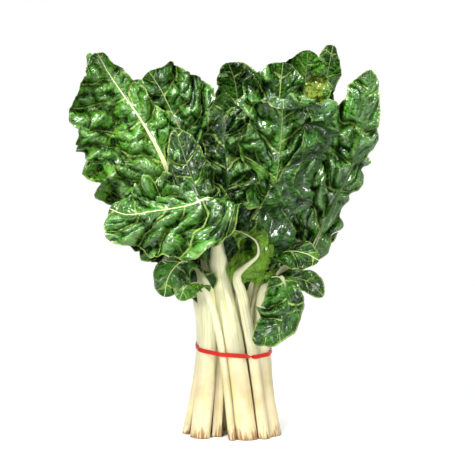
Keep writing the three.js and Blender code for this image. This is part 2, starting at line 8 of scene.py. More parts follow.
import bpy
import numpy as np
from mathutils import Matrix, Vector


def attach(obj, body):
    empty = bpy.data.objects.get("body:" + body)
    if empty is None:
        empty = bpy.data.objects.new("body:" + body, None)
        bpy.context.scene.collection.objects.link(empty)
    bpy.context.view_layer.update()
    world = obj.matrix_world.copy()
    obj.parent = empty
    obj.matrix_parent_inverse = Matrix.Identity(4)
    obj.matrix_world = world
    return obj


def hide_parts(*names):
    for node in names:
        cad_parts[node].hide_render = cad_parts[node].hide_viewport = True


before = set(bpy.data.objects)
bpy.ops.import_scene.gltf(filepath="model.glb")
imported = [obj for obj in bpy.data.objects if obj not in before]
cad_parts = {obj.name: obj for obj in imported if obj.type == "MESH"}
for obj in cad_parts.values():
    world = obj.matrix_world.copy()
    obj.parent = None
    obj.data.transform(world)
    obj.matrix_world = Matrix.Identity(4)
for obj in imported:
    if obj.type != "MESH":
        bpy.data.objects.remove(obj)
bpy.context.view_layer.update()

MM = 0.001
TURN = 2 * math.pi

# ---------------------------------------------------------------- stalk and midrib, in millimetres
STALK_ROWS = 44                  # sections along a bare stalk
RING = 24                        # points round a stalk
STALK_FLARE = 0.12               # how much wider a stalk is at its cut end
STALK_GROOVE = 0.16              # depth of the groove along its upper face, as a share of its thickness
STALK_RIDGES = 9                 # ridges along its lower face, if they went all the way round
RIDGE_SIZE = 0.035               # their height, as a share
STALK_UNEVEN = 0.05              # how uneven it is along its length, as a share
MIDRIB_LIFT = 0.35               # how far its middle is raised off its path, towards the upper face
MIDRIB_TAPER = 4                 # how soon a midrib gets narrow, and more is sooner
MIDRIB_TIP_HALF = 0.45           # half-width of the midrib at the leaf's tip
MIDRIB_TIP_THICKNESS = 0.7
MIDRIB_OVERLAP = 0.85            # where the blade starts, as a share of the midrib's half-width

# ---------------------------------------------------------------- outline of a blade, in millimetres
BLADE_ROWS = 168                 # sections along the widest blades
WING_COLUMNS = 40                # columns across half of the widest blades
TIP_CROWDING = 1.6               # how much closer together the sections come towards the tip
MARGIN_CROWDING = 1.15           # and the columns towards the margin
LAST_SECTION = 0.9995            # share of the midrib's length at which the blade ends
WIDEST_AT = 0.56                 # where a blade is widest, from its foot to its tip
TIP_POINT = 0.55                 # 0.5 is a round tip, and more is more pointed
FOOT_ROUND = 0.85                # how full the outline is between the foot and the widest place
LEAST_REACH = 0.8                # width of a half-blade at its foot and tip
LOBE_SIZE = 0.06                 # regular lobes of the outline, as a share of its width
LOBES_PER_WAVE = 1.7             # for each wave of the ruffle
UNEVEN_LOBES = 0.09              # irregular ones
SCALLOP = 4.0                    # how far the margin stands out between two side veins
NOTCH = 1.4                      # small teeth in the outline
BLADE_THICKNESS = 0.6

# ---------------------------------------------------------------- bends and crinkles, in millimetres
HALVES_APART = 0.37              # how far the ruffle of one half is ahead of the other's, in waves
SECOND_WAVE = 0.45               # size of the ruffle's faster wave, as a share of the slow one
SECOND_RATE = 2.3                # and how much faster it is
CURL_POWER = 1.5                 # how late a curl bends a half-blade on its way to the margin
RUFFLE_POWER = 1.3
FOLD_SPAN = 0.2                  # share of a half-blade that a fold is bent over
VEIN_SPACING = 28                # along the midrib, from one side vein to the next
VEIN_SLANT = 0.62                # how far a side vein climbs as it runs outwards
VEIN_BEND = 0.004                # how much more it climbs towards the margin
FULL_REACH = 36                  # a half-blade at least this wide has crinkles of full height
SWELL = 11                       # height of the blade between two side veins
PUFF = 21                        # width of a puffed cell of the blade
PUFF_SWELL = 10.5                # its height above the creases round it
GRAIN = 6.5                      # width of the small cells on top of it
GRAIN_SWELL = 2.6                # their height
SWELL_FROM = 11                  # distance from the midrib at which the cells are at full height
SUNK_SHARE = 0.75                # share of that height by which the whole blade is lowered again
CRUMPLE = 7.5                    # broad waves of the whole blade
CRUMPLE_FROM = 24                # distance from the midrib at which they are at full height
FRILL = 5.5                      # waves at the margin
FRILL_LENGTH = 44
CRIMP = 4.0                      # small folds at the margin
BLUR = 14                        # passes that level the blade out, to find its creases
CREASE_DEPTH = 7.0               # depth that counts as a full crease

# ---------------------------------------------------------------- rubber band, in millimetres
BAND_Z = 99                      # height of its middle
BAND_SLOPE = (-0.09, 0.02)       # its rise along +X and +Y
BAND_HEIGHT = 4.8
BAND_THICKNESS = 1.1
BAND_GAP = 0.15                  # between the band and the stalks
BAND_ROWS = 260                  # sections round the bunch
BAND_CORNERS = 20                # points round its section
BAND_SQUARENESS = 0.35           # 1 is an oval section, and 0 is a square one
BAND_HOLD = 6                    # stalk length, above and below, that the band lies on
BAND_WANDER = 0.5                # how far it strays up and down
TWIST_NEAR = (27, -60)           # X and Y of the place it is half turned over at
TWIST_ROWS = 14                  # sections that the twist takes
TWIST_BULGE = 1.9                # how far the twist stands out
TWIST_SPREAD = 6                 # sections on each side over which that fades out
BUNDLE_RADIUS = 56               # no stalk is farther from the middle where the band holds it

# ---------------------------------------------------------------- colours, darkest first where there are two
UPPER_GREENS = ((0.002, 0.022, 0.001, 1), (0.058, 0.250, 0.012, 1))
UNDER_GREENS = ((0.005, 0.030, 0.007, 1), (0.030, 0.118, 0.014, 1))
# painted light: the puffed tops of the upper face are made paler
PUFF_PAINTED_LIGHT = (0.16, 0.34, 0.090, 1)
# painted shade: the creases of the upper face are made nearly black
CREASE_PAINTED_SHADE = (0.001, 0.009, 0.001, 1)
NET_GREEN = (0.10, 0.26, 0.020, 1)
FORK_GREEN = (0.24, 0.42, 0.06, 1)
VEIN_GREEN = (0.36, 0.54, 0.13, 1)
# painted shade in the underside's hollows
UNDER_HOLLOW_PAINTED_SHADE = (0.002, 0.012, 0.003, 1)
# painted light on the underside's ridges
UNDER_RIDGE_PAINTED_LIGHT = (0.07, 0.18, 0.05, 1)
UNDER_VEIN_GREEN = (0.22, 0.34, 0.10, 1)
MARGIN_GREEN = (0.34, 0.48, 0.09, 1)
YOUNG_GREEN = (0.20, 0.41, 0.026, 1)
YELLOWED = (0.36, 0.42, 0.05, 1)
CREAMS = ((0.50, 0.41, 0.21, 1), (0.66, 0.57, 0.37, 1))
# paler cream higher up the stalk: partly the stalk's own colour, partly painted light where the leaves shade
# it
LEAFWARD_CREAM_AND_LIGHT = (0.95, 0.94, 0.63, 1)
FIBRE_GREEN = (0.60, 0.58, 0.17, 1)
MIDRIB_GREENS = ((0.035, 0.11, 0.008, 1), (0.32, 0.45, 0.07, 1))
DRIED_BROWN = (0.27, 0.13, 0.035, 1)
SPECK_BROWN = (0.35, 0.22, 0.07, 1)
BAND_REDS = ((0.46, 0.006, 0.002, 1), (0.70, 0.026, 0.012, 1))
FLOOR_WHITE = (0.93, 0.93, 0.93, 1)
PLAIN_WHITE = (1, 1, 1, 1)

# ---------------------------------------------------------------- light and camera, in metres
SKY_FILL = 0.05                  # even light from all round
SHADOW_FADE = (0.12, 0.36)       # distances from the bunch at which the floor starts and ends fading out
LAMPS = {                        # place, height aimed at, width and height, watts
    "key": ((-0.7, -1.1, 1.9), 0.3, (0.45, 0.45), 46),
    "top": ((0.2, 0.3, 2.0), 0.3, (1.3, 0.8), 50),
    "left": ((-1.3, -1.7, 0.9), 0.25, (0.5, 0.8), 26),
    "front": ((0.3, -2.3, 0.1), 0.25, (1.4, 0.8), 12),
    "right": ((1.3, -1.4, 1.0), 0.25, (0.35, 0.5), 20),
    "back": ((0.3, 1.8, 0.9), 0.25, (0.8, 0.8), 24),
}
VIEW_ELEVATION = math.radians(7)
VIEW_DISTANCE = 1.6
VIEW_WIDTH = 0.546               # width that the camera sees where the bunch stands
VIEW_TARGET = Vector((0.0086, 0, 0.2265))
SENSOR_WIDTH = 36                # of the camera, in millimetres

# ---------------------------------------------------------------- the leaves, foremost first
# path: the midrib from the cut end to the tip.  faces: where the upper face looks along it.
# stalk: width and thickness.  foot: share of the length where the blade begins.
# ruffle: degrees, waves and where they start.  tone: 0 dark to 1 pale.
# pale: how pale the midrib is.  rough: how crinkled the blade is.
# widest, point, veins, slim: this leaf's own WIDEST_AT, TIP_POINT, VEIN_SPACING and MIDRIB_TAPER.
# yellow: middle and radius of a yellowed patch.
# left, right: width of each half-blade, its opening and curl in degrees at the foot, middle and tip,
# and for a folded one the degrees of the fold and its crease at the foot and tip, as shares of the width.
LEAVES = {
    "leaf_front_flop": dict(
        path=[(19, -40, 0), (6, -33, 100), (-12, -36, 195), (-15, -54, 246), (-19, -76, 279),
            (-44, -95, 273), (-82, -100, 267), (-112, -93, 263), (-131, -80, 268)],
        faces=[(0, 1, 0), (0, 1, 0), (0, 1, 0.1), (0, 0.9, 0.4), (0.1, 0.1, 1), (0.1, -0.75, 0.6),
            (0, -0.9, 0.4), (0, -0.95, 0.3), (0.1, -0.95, 0.2)],
        stalk=(22, 9), foot=0.49, ruffle=(35, 4.2, 0.3), tone=0.55, pale=0.7, rough=1.15,
        left=(54, (-10, 0, 0), (0, -10, -10)),
        right=(46, (0, 0, 0), (0, -20, -20))),
    "leaf_front_kink": dict(
        path=[(39, -37, 0), (25.5, -32, 100), (14, -42, 165), (8, -53, 190), (17, -65, 202),
            (31, -72, 216), (29, -76, 231), (14, -75, 241), (1, -69, 244)],
        faces=[(0, 1, 0), (0, 1, 0), (0, 1, 0.1), (0, 1, 0.1), (0, 1, 0.2), (0, 1, 0), (0, 1, 0),
            (0, 1, -0.2), (0, 1, -0.2)],
        stalk=(12, 7), foot=0.64, ruffle=(14, 2, 0.1), tone=0.95, pale=1, rough=0.8,
        widest=0.25, slim=2,
        left=(50, (0, 60, 140), (0, 0, 0)),
        right=(18, (60, 80, 110), (0, 0, 0))),
    "leaf_front_hanging_right": dict(
        path=[(48, -25, 0), (34, -20, 100), (39, -27, 160), (50, -41, 185), (58, -55, 188),
            (63, -65, 172), (62, -68, 150), (48, -72, 130), (26, -70, 118)],
        faces=[(-0.5, 0.9, 0), (-0.5, 0.9, 0), (-0.4, 0.9, 0.2), (-0.2, 0.4, 1), (0.2, -0.6, 1),
            (0.1, -1, 0.1), (0.05, -1, 0.1), (0, -1, 0.2), (0, -1, 0.2)],
        stalk=(20, 8), foot=0.64, ruffle=(26, 2.9, 0.6), tone=0.42, pale=0, rough=1,
        slim=9,
        left=(17, (0, 0, 0), (0, -20, 0)),
        right=(27, (0, 0, 0), (0, -20, 0))),
    "leaf_front_hanging_left": dict(
        path=[(-34, -32, 0), (-24.5, -25, 100), (-27, -34, 165), (-36, -46, 198), (-53, -56, 206),
            (-67, -60, 192), (-73, -58, 167)],
        faces=[(0.5, 0.9, 0), (0.5, 0.9, 0), (0.4, 0.9, 0.3), (0.1, 0.2, 1), (-0.3, -0.5, 1),
            (-0.1, -1, 0.1), (0, -1, 0)],
        stalk=(22, 9), foot=0.64, ruffle=(26, 2.9, 0.9), tone=0.45, pale=0.6, rough=1,
        left=(26, (-10, 0, 0), (0, -10, 0)),
        right=(20, (0, 0, 0), (0, -20, -20))),
    "leaf_front_small": dict(
        path=[(3, -44, 0), (-9, -38, 100), (-22, -47, 160), (-34, -57, 182), (-48, -63, 180),
            (-56, -63, 164)],
        faces=[(0, 1, 0), (0, 1, 0), (0.2, 1, 0.1), (0.2, 0.2, 1), (-0.2, -0.9, 0.4), (0, -1, 0)],
        stalk=(8, 6), foot=0.78, ruffle=(15, 1.5, 0.2), tone=0.8, pale=0.5, rough=0.8,
        left=(16, (0, 0, 0), (0, 10, 0)),
        right=(14, (0, 0, 0), (0, -10, 0))),
    "leaf_right_small": dict(
        path=[(33, -19, 0), (26, -14, 100), (31, -15, 160), (46, -19, 179), (70, -26, 184),
            (90, -31, 179), (106, -31, 163)],
        faces=[(0, 1, 0), (0, 1, 0), (-0.3, 0.8, 0.5), (-0.2, 0, 1), (0, -0.6, 0.8), (0.2, -0.8, 0.4),
            (0.3, -0.9, 0.1)],
        stalk=(9, 6), foot=0.7, ruffle=(16, 1.5, 0.7), tone=0.42, pale=0.2, rough=0.6,
        left=(15, (0, 0, 0), (0, 0, 0)),
        right=(14, (0, 10, 0), (0, 0, 0))),
    "leaf_centre_cup": dict(
        path=[(5, -30, 0), (6, -24, 100), (18, -27, 190), (37, -34, 228), (46, -38, 255),
            (52, -42, 295), (56, -46, 335), (58, -52, 368), (58, -62, 384), (58, -74, 386),
            (58, -82, 376)],
        faces=[(0, -1, 0), (0, -1, 0), (0, -1, 0.2), (-0.1, -1, 0.2), (-0.1, -1, 0.1), (0, -1, 0.1),
            (0, -1, 0), (0, -0.8, -0.6), (0, -0.3, -1), (0, 0.5, -0.9), (0, 0.9, -0.4)],
        stalk=(13, 8), foot=0.4, ruffle=(12, 3, 0.5), tone=0.6, pale=0.3, rough=1,
        widest=0.72, veins=30, slim=6,
        left=(34, (0, 10, 0), (0, 60, 10)),
        right=(96, (5, 5, 5), (0, 0, 0), (165, 0.18, 0.74))),
    "leaf_centre_dark": dict(
        path=[(29, -6, 0), (24, -4, 100), (32, -12, 170), (44, -26, 200), (62, -38, 215),
            (84, -44, 214), (100, -44, 206)],
        faces=[(0, 1, 0), (0, 1, 0), (-0.2, 0.8, 0.5), (-0.2, 0, 1), (0, -0.5, 1), (0, -0.8, 0.6),
            (0.1, -0.9, 0.4)],
        stalk=(10, 6), foot=0.64, ruffle=(29, 2.6, 0.4), tone=0.3, pale=0.6, rough=1,
        left=(20, (0, 0, 0), (0, -10, 0)),
        right=(26, (0, 0, 0), (10, 0, 0))),
    "leaf_right_tall": dict(
        path=[(48, 3, 0), (38.5, 2, 100), (46, 0, 165), (66, -4, 190), (90, -6, 208), (109, -8, 248),
            (124, -8, 280), (140, -8, 316), (151, -8, 364), (158, -6, 398), (159, -4, 418)],
        faces=[(-1, 0, 0), (-1, 0, 0), (-0.9, -0.2, 0.3), (-0.6, -0.6, 0.5), (-0.5, -0.8, 0.3),
            (-0.3, -0.95, 0.1), (-0.2, -0.98, 0.1), (-0.15, -0.98, 0.1), (-0.15, -0.98, 0.1),
            (-0.2, -0.95, 0), (-0.2, -0.95, 0)],
        stalk=(20, 9), foot=0.45, ruffle=(24, 4.2, 0.8), tone=0.58, pale=0.05, rough=1.2,
        widest=0.42, point=0.6, veins=42, slim=9,
        left=(47, (10, 0, 10), (10, 10, 20)),
        right=(24, (-50, -40, -10), (-30, -20, 0))),
    "leaf_left_big": dict(
        path=[(-18, -9, 0), (-14, -8, 100), (-18, -8, 190), (-38, -8, 250), (-64, -12, 292),
            (-82, -15, 330), (-104, -18, 368), (-122, -22, 394), (-136, -27, 416), (-145, -36, 434),
            (-147, -50, 436)],
        faces=[(0.8, -0.5, 0), (0.8, -0.5, 0), (0.6, -0.8, 0.1), (0.3, -0.95, 0.2), (0.25, -0.95, 0.2),
            (0.25, -0.95, 0.15), (0.25, -0.95, 0.1), (0.25, -0.95, 0), (0.3, -0.9, -0.3),
            (0.3, -0.5, -0.9), (0.3, 0.3, -1)],
        stalk=(18, 8), foot=0.42, ruffle=(30, 4.2, 0.15), tone=0.74, pale=1, rough=1.25,
        widest=0.45, point=0.72, veins=34, slim=2.4,
        left=(84, (10, 0, 10), (0, -10, 30)),
        right=(27, (10, 0, 10), (0, 0, 20))),
    "leaf_left_low": dict(
        path=[(-48, -12, 0), (-31, -8, 100), (-37, -12, 165), (-56, -22, 202), (-80, -31, 230),
            (-106, -37, 248), (-126, -41, 264)],
        faces=[(1, 0, 0), (1, 0, 0), (0.9, -0.3, 0.3), (0.5, -0.6, 0.7), (0.3, -0.8, 0.6),
            (0.3, -0.9, 0.5), (0.4, -0.9, 0.3)],
        stalk=(17, 8), foot=0.5, ruffle=(28, 3.4, 0.35), tone=0.4, pale=0.2, rough=1.2,
        left=(30, (0, -10, 0), (0, -20, 0)),
        right=(40, (0, 0, 0), (0, 0, 0))),
    "leaf_left_upright": dict(
        path=[(-15, 17, 0), (-12, 13.5, 100), (-10, 20, 190), (-20, 27, 250), (-42, 30, 312),
            (-64, 28, 362), (-80, 20, 396), (-92, 8, 416)],
        faces=[(0, -1, 0), (0, -1, 0), (0, -1, 0.1), (0.15, -1, 0.1), (0.15, -1, 0.1),
            (0.15, -1, 0.05), (0.15, -1, -0.2), (0.15, -1, -0.4)],
        stalk=(17, 8), foot=0.42, ruffle=(35, 4.4, 0.65), tone=0.5, pale=0.5, rough=1.2,
        left=(46, (0, -10, 0), (0, -20, 0)),
        right=(60, (10, 5, 0), (0, -20, -10))),
    "leaf_top_centre": dict(
        path=[(21, 8, 0), (17, 6, 100), (21, 13, 190), (32, 15, 260), (45, 14, 322), (55, 11, 372),
            (58, 5, 405), (60, -6, 426)],
        faces=[(0, -1, 0), (0, -1, 0), (0, -1, 0.1), (-0.05, -1, 0.1), (-0.05, -1, 0.05), (0, -1, 0),
            (0, -1, -0.3), (0, -0.9, -0.6)],
        stalk=(17, 8), foot=0.42, ruffle=(32, 4.5, 0.25), tone=0.55, pale=0.4, rough=1.1,
        veins=30,
        left=(58, (10, 5, 5), (0, -10, -20)),
        right=(44, (10, 5, 5), (0, -10, -20))),
    "leaf_centre_left": dict(
        path=[(-15, -33, 0), (-11, -27, 100), (-13, -24, 190), (-25, -26, 250), (-46, -20, 305),
            (-62, -8, 352)],
        faces=[(0, -1, 0), (0, -1, 0), (0, -1, 0.1), (0.1, -1, 0.1), (0.1, -1, 0.1), (0.1, -1, 0.1)],
        stalk=(10, 6), foot=0.5, ruffle=(32, 3.1, 0.45), tone=0.3, pale=0.1, rough=1.2,
        slim=8,
        left=(22, (10, 10, 0), (0, 10, 0)),
        right=(28, (10, 10, 0), (0, 10, 0))),
    "leaf_centre_narrow": dict(
        path=[(0, -3.6, 0), (-1.5, 4, 100), (0, 4, 190), (-2, 0, 260), (-5, -4, 320), (-8, -8, 372),
            (-6, -16, 392)],
        faces=[(0, -1, 0), (0, -1, 0), (0, -1, 0.1), (0, -1, 0.1), (0, -1, 0.1), (0, -1, 0),
            (0, -0.8, -0.6)],
        stalk=(15, 7), foot=0.5, ruffle=(35, 4.4, 0.85), tone=0.3, pale=0, rough=1.4,
        slim=8,
        left=(24, (20, 25, 10), (0, 20, 0)),
        right=(34, (20, 25, 10), (0, 20, 0))),
    "leaf_top_right": dict(
        path=[(25, 21, 0), (20, 16.5, 100), (28, 28, 190), (50, 36, 270), (74, 38, 345), (87, 30, 408),
            (89, 12, 440)],
        faces=[(-0.1, -1, 0), (-0.1, -1, 0), (-0.2, -1, 0.1), (-0.2, -0.95, 0.2), (-0.2, -0.95, 0.1),
            (-0.1, -1, -0.3), (0, -0.7, -0.8)],
        stalk=(15, 8), foot=0.42, ruffle=(38, 4.5, 0.55), tone=0.7, pale=0.2, rough=1.2,
        yellow=(97, 34, 394, 22),
        left=(44, (5, 5, 5), (0, 0, 0)),
        right=(42, (5, 5, 5), (0, 0, 0))),
    "leaf_back_tip": dict(
        path=[(-2, 30, 0), (-2, 23, 100), (3, 35, 190), (8, 58, 280), (10, 68, 350), (6, 60, 402),
            (-2, 44, 426)],
        faces=[(0, -1, 0), (0, -1, 0), (0, -1, 0.2), (-0.1, -1, 0.1), (-0.1, -1, 0), (0, -0.9, -0.4),
            (0, -0.6, -0.8)],
        stalk=(15, 7.5), foot=0.44, ruffle=(35, 3.9, 0.05), tone=0.3, pale=0.2, rough=1,
        left=(36, (5, 5, 0), (0, 0, -20)),
        right=(42, (5, 5, 0), (0, 0, -20))),
    "leaf_back_right_tip": dict(
        path=[(42, 26, 0), (31, 19, 100), (39, 32, 185), (66, 54, 268), (98, 62, 350), (114, 58, 412),
            (120, 48, 446)],
        faces=[(-0.7, -0.7, 0), (-0.7, -0.7, 0), (-0.7, -0.7, 0.1), (-0.6, -0.8, 0.2),
            (-0.6, -0.8, 0.2), (-0.6, -0.8, 0.1), (-0.6, -0.8, 0)],
        stalk=(17, 8), foot=0.44, ruffle=(32, 3.9, 0.75), tone=0.4, pale=0.2, rough=1,
        point=0.35,
        left=(24, (20, 30, 20), (0, 20, 0)),
        right=(22, (10, 10, 10), (0, 0, 0))),
    "leaf_far_right": dict(
        path=[(38, 11, 0), (29, 8, 100), (42, 17, 175), (70, 36, 212), (94, 52, 230), (108, 66, 226),
            (112, 74, 208)],
        faces=[(-0.8, -0.5, 0), (-0.8, -0.5, 0), (-0.8, -0.5, 0.3), (-0.5, -0.6, 0.7), (-0.2, -0.3, 1),
            (0.3, 0.1, 1), (0.9, 0.3, 0.3)],
        stalk=(12, 6.5), foot=0.56, ruffle=(35, 3.4, 0.95), tone=0.45, pale=0.2, rough=1,
        left=(34, (0, 0, 0), (0, -10, 0)),
        right=(34, (0, 0, 0), (0, -10, 0))),
    "leaf_far_left": dict(
        path=[(-46, 9, 0), (-31, 8, 100), (-38, 14, 175), (-64, 28, 212), (-92, 46, 242),
            (-112, 60, 258), (-124, 70, 254)],
        faces=[(1, 0.2, 0), (1, 0.2, 0), (0.9, -0.2, 0.3), (0.5, -0.6, 0.7), (0.2, -0.3, 1),
            (-0.3, 0.1, 1), (-0.9, 0.4, 0.3)],
        stalk=(13, 7), foot=0.56, ruffle=(35, 3.4, 0.35), tone=0.45, pale=0.2, rough=1,
        left=(34, (0, 0, 0), (0, -10, 0)),
        right=(32, (0, 0, 0), (0, -10, 0))),
    "leaf_back_middle": dict(
        path=[(-8, 44, 0), (-8, 33, 100), (-10, 48, 185), (-19, 86, 260), (-28, 119, 320),
            (-35, 141, 343), (-39, 156, 334)],
        faces=[(0, -1, 0), (0, -1, 0), (0, -1, 0.2), (0.1, -0.9, 0.5), (0.1, -0.7, 0.8),
            (0.1, -0.4, 1), (0.1, 0, 1)],
        stalk=(20, 9), foot=0.44, ruffle=(38, 4.4, 0.45), tone=0.5, pale=0.2, rough=1.1,
        left=(56, (5, 0, 0), (0, -10, 0)),
        right=(54, (5, 0, 0), (0, -10, 0))),
    "leaf_back_right": dict(
        path=[(18, 42, 0), (14, 32, 100), (24, 44, 185), (58, 72, 258), (88, 98, 308), (104, 116, 320),
            (112, 130, 298)],
        faces=[(0, -1, 0), (0, -1, 0), (0, -1, 0.2), (-0.1, -0.9, 0.5), (-0.1, -0.7, 0.8),
            (-0.1, 0.2, 1), (0, 0.9, 0.5)],
        stalk=(19, 9), foot=0.44, ruffle=(38, 4.7, 0.2), tone=0.45, pale=0.2, rough=1.1,
        left=(52, (5, 0, 0), (0, -10, 0)),
        right=(56, (5, 0, 0), (0, -10, 0))),
    "leaf_back_left": dict(
        path=[(-33, 33, 0), (-24, 22, 100), (-31, 36, 185), (-56, 60, 258), (-86, 74, 325),
            (-108, 78, 378), (-118, 72, 404)],
        faces=[(0.6, -0.8, 0), (0.6, -0.8, 0), (0.6, -0.8, 0.2), (0.5, -0.8, 0.4), (0.5, -0.8, 0.4),
            (0.5, -0.8, 0.2), (0.5, -0.8, 0)],
        stalk=(18, 8), foot=0.44, ruffle=(38, 4.7, 0.7), tone=0.55, pale=0.2, rough=1.1,
        left=(52, (5, 0, 0), (0, -10, 0)),
        right=(54, (5, 0, 0), (0, -10, 0))),
}


# ---------------------------------------------------------------- curves and noise
def curve_points(points, shares):
    """Points of a centripetal Catmull-Rom curve, at shares from 0 to 1 of its control points."""
    control = np.array(points, float)
    last = len(control) - 1
    before = 2 * control[0] - control[1]
    after = 2 * control[-1] - control[-2]
    control = np.vstack([before, control, after])
    place = np.clip(shares, 0, 1) * last
    index = np.minimum(place.astype(int), last - 1)
    w = (place - index)[:, None]
    p0, p1, p2, p3 = (control[index + k] for k in range(4))
    spans = ((p0, p1), (p1, p2), (p2, p3))
    d0, d1, d2 = (np.linalg.norm(b - a, axis=1)[:, None] ** 0.5 for a, b in spans)
    too_close = 1e-4
    d1 = np.where(d1 < too_close, 1, d1)
    d0 = np.where(d0 < too_close, d1, d0)
    d2 = np.where(d2 < too_close, d1, d2)
    slope1 = ((p1 - p0) / d0 - (p2 - p0) / (d0 + d1) + (p2 - p1) / d1) * d1
    slope2 = ((p2 - p1) / d1 - (p3 - p1) / (d1 + d2) + (p3 - p2) / d2) * d1
    square = -3 * p1 + 3 * p2 - 2 * slope1 - slope2
    cube = 2 * p1 - 2 * p2 + slope1 + slope2
    return p1 + slope1 * w + square * w ** 2 + cube * w ** 3


def unit(vectors):
    return vectors / np.linalg.norm(vectors, axis=-1, keepdims=True)


def smooth(x):
    """0 below 0 and 1 above 1, with a soft start and end."""
    x = np.clip(x, 0, 1)
    return x * x * (3 - 2 * x)


def along(values, t):
    """The value at t of one that is given at the foot, the middle and the tip."""
    foot, middle, tip = values
    return foot + (middle - foot) * smooth(2 * t) + (tip - middle) * smooth(2 * t - 1)


def lattice(x, y, seed):
    """A fixed number from -1 to 1 for each whole x and y."""
    wave = np.sin(x * 127.1 + y * 311.7 + seed * 74.7) * 43758.5453
    return 2 * (wave - np.floor(wave)) - 1


def noise(x, y, seed):
    """Smooth noise from -1 to 1, with features about one unit across.

    What a caller divides x and y by is the size of the features.
    """
    x0, y0 = np.floor(x), np.floor(y)
    fx, fy = smooth(x - x0), smooth(y - y0)
    near = lattice(x0, y0, seed) * (1 - fx) + lattice(x0 + 1, y0, seed) * fx
    far = lattice(x0, y0 + 1, seed) * (1 - fx) + lattice(x0 + 1, y0 + 1, seed) * fx
    return near * (1 - fy) + far * fy


def blurred(values, times):
    """A grid of numbers, each mixed with its neighbours as many times as asked."""
    for _ in range(times):
        for axis in (0, 1):
            padded = np.concatenate([values.take([0], axis), values, values.take([-1], axis)], axis)
            size = values.shape[axis]
            low = padded.take(range(size), axis)
            high = padded.take(range(2, size + 2), axis)
            values = (low + 2 * values + high) / 4
    return values


def bubbles(x, y, seed):
    """Puffed cells about one unit across: 0 in the creases between them, up to 1 in their middles."""
    scatter = 0.42
    x0, y0 = np.floor(x), np.floor(y)
    nearest = np.full(x.shape, 9.0)
    second = nearest.copy()
    for i in (-1, 0, 1):
        for j in (-1, 0, 1):
            across = x0 + i + 0.5 + scatter * lattice(x0 + i, y0 + j, seed) - x
            up = y0 + j + 0.5 + scatter * lattice(x0 + i, y0 + j, seed + 19) - y
            distance = np.hypot(across, up)
            second = np.minimum(second, np.maximum(nearest, distance))
            nearest = np.minimum(nearest, distance)
    return np.clip(second - nearest, 0, 1)


def stacked(*values):
    """Triples of values, one for each point of a grid."""
    return np.stack(np.broadcast_arrays(*values), -1)


# ---------------------------------------------------------------- stalk and midrib
class Rib:
    """Sections along a leaf's stalk and midrib, and the directions at each of them."""

    def __init__(self, leaf, shares):
        dense = np.linspace(0, 1, 801)
        track = curve_points(leaf["path"], dense)
        run = np.concatenate([[0], np.cumsum(np.linalg.norm(np.diff(track, axis=0), axis=1))])
        place = np.interp(shares * run[-1], run, dense)
        step = 1e-4
        ahead = curve_points(leaf["path"], np.minimum(place + step, 1))
        behind = curve_points(leaf["path"], np.maximum(place - step, 0))
        face = curve_points(leaf["faces"], place)
        self.along = shares * run[-1]
        self.t = np.clip((shares - leaf["foot"]) / (1 - leaf["foot"]), 0, 1)    # share of the blade passed
        self.point = curve_points(leaf["path"], place)
        self.tangent = unit(ahead - behind)
        self.normal = unit(face - (face * self.tangent).sum(1, keepdims=True) * self.tangent)
        self.side = np.cross(self.tangent, self.normal)
        width, thickness = leaf["stalk"]
        flare = 1 + STALK_FLARE * np.clip(1 - shares / leaf["foot"], 0, 1) ** 2
        left_over = 1 - self.t
        narrowing = left_over ** leaf.get("slim", MIDRIB_TAPER)
        self.half = MIDRIB_TIP_HALF + (width / 2 * flare - MIDRIB_TIP_HALF) * narrowing
        self.thickness = MIDRIB_TIP_THICKNESS + (thickness - MIDRIB_TIP_THICKNESS) * left_over ** 2


def stalk_tube(rib, seed):
    """Rings of points round the stalk and midrib, with their place on it."""
    turn = np.arange(RING) / RING * TURN
    across, height = np.cos(turn), np.sin(turn)
    groove = STALK_GROOVE * np.clip(height, 0, 1) * (1 - 1.9 * np.exp(-(across / 0.5) ** 2))
    ridges = 1 + RIDGE_SIZE * np.cos(STALK_RIDGES * turn) * (height < 0)
    hull = -np.abs(np.minimum(height, 0)) ** 0.8 * ridges
    up = (groove + hull)[None, :] * rib.thickness[:, None] + MIDRIB_LIFT
    wide = across[None, :] * ridges[None, :] * rib.half[:, None]
    along_mm = rib.along[:, None]
    uneven = 1 + STALK_UNEVEN * noise(along_mm / 45, turn[None, :] * 0.8, seed)
    points = rib.point[:, None] + wide[..., None] * rib.side[:, None] * uneven[..., None]
    points = points + (up * uneven)[..., None] * rib.normal[:, None]
    points[0] -= (points[0, :, 2] / rib.tangent[0, 2])[:, None] * rib.tangent[0]
    place = stacked(wide, along_mm, float(seed))
    veins = stacked(rib.t[:, None], points[..., 2], 0.0)
    return points, place, veins, np.full(wide.shape, 0.5)


# ---------------------------------------------------------------- half a blade
def outline(leaf, t):
    """Half-width of a blade as a share of its greatest."""
    widest = leaf.get("widest", WIDEST_AT)
    rise = np.clip(1 - (1 - t / widest) ** 2, 0, 1) ** FOOT_ROUND
    fall = np.clip(1 - ((t - widest) / (1 - widest)) ** 2, 0, 1) ** leaf.get("point", TIP_POINT)
    return np.where(t < widest, rise, fall)


def lane_number(leaf, along_mm, across_mm, seed):
    """Which side vein a place on the blade belongs to: a whole number on a vein, between them elsewhere."""
    climb = VEIN_SLANT * across_mm + VEIN_BEND * across_mm ** 2
    wide_sway = 0.34 * noise(along_mm / 30, across_mm / 26, seed)
    small_sway = 0.12 * noise(along_mm / 11, across_mm / 11, seed + 6)
    sway = wide_sway + small_sway
    return (along_mm - climb) / leaf.get("veins", VEIN_SPACING) + sway + leaf["ruffle"][2]


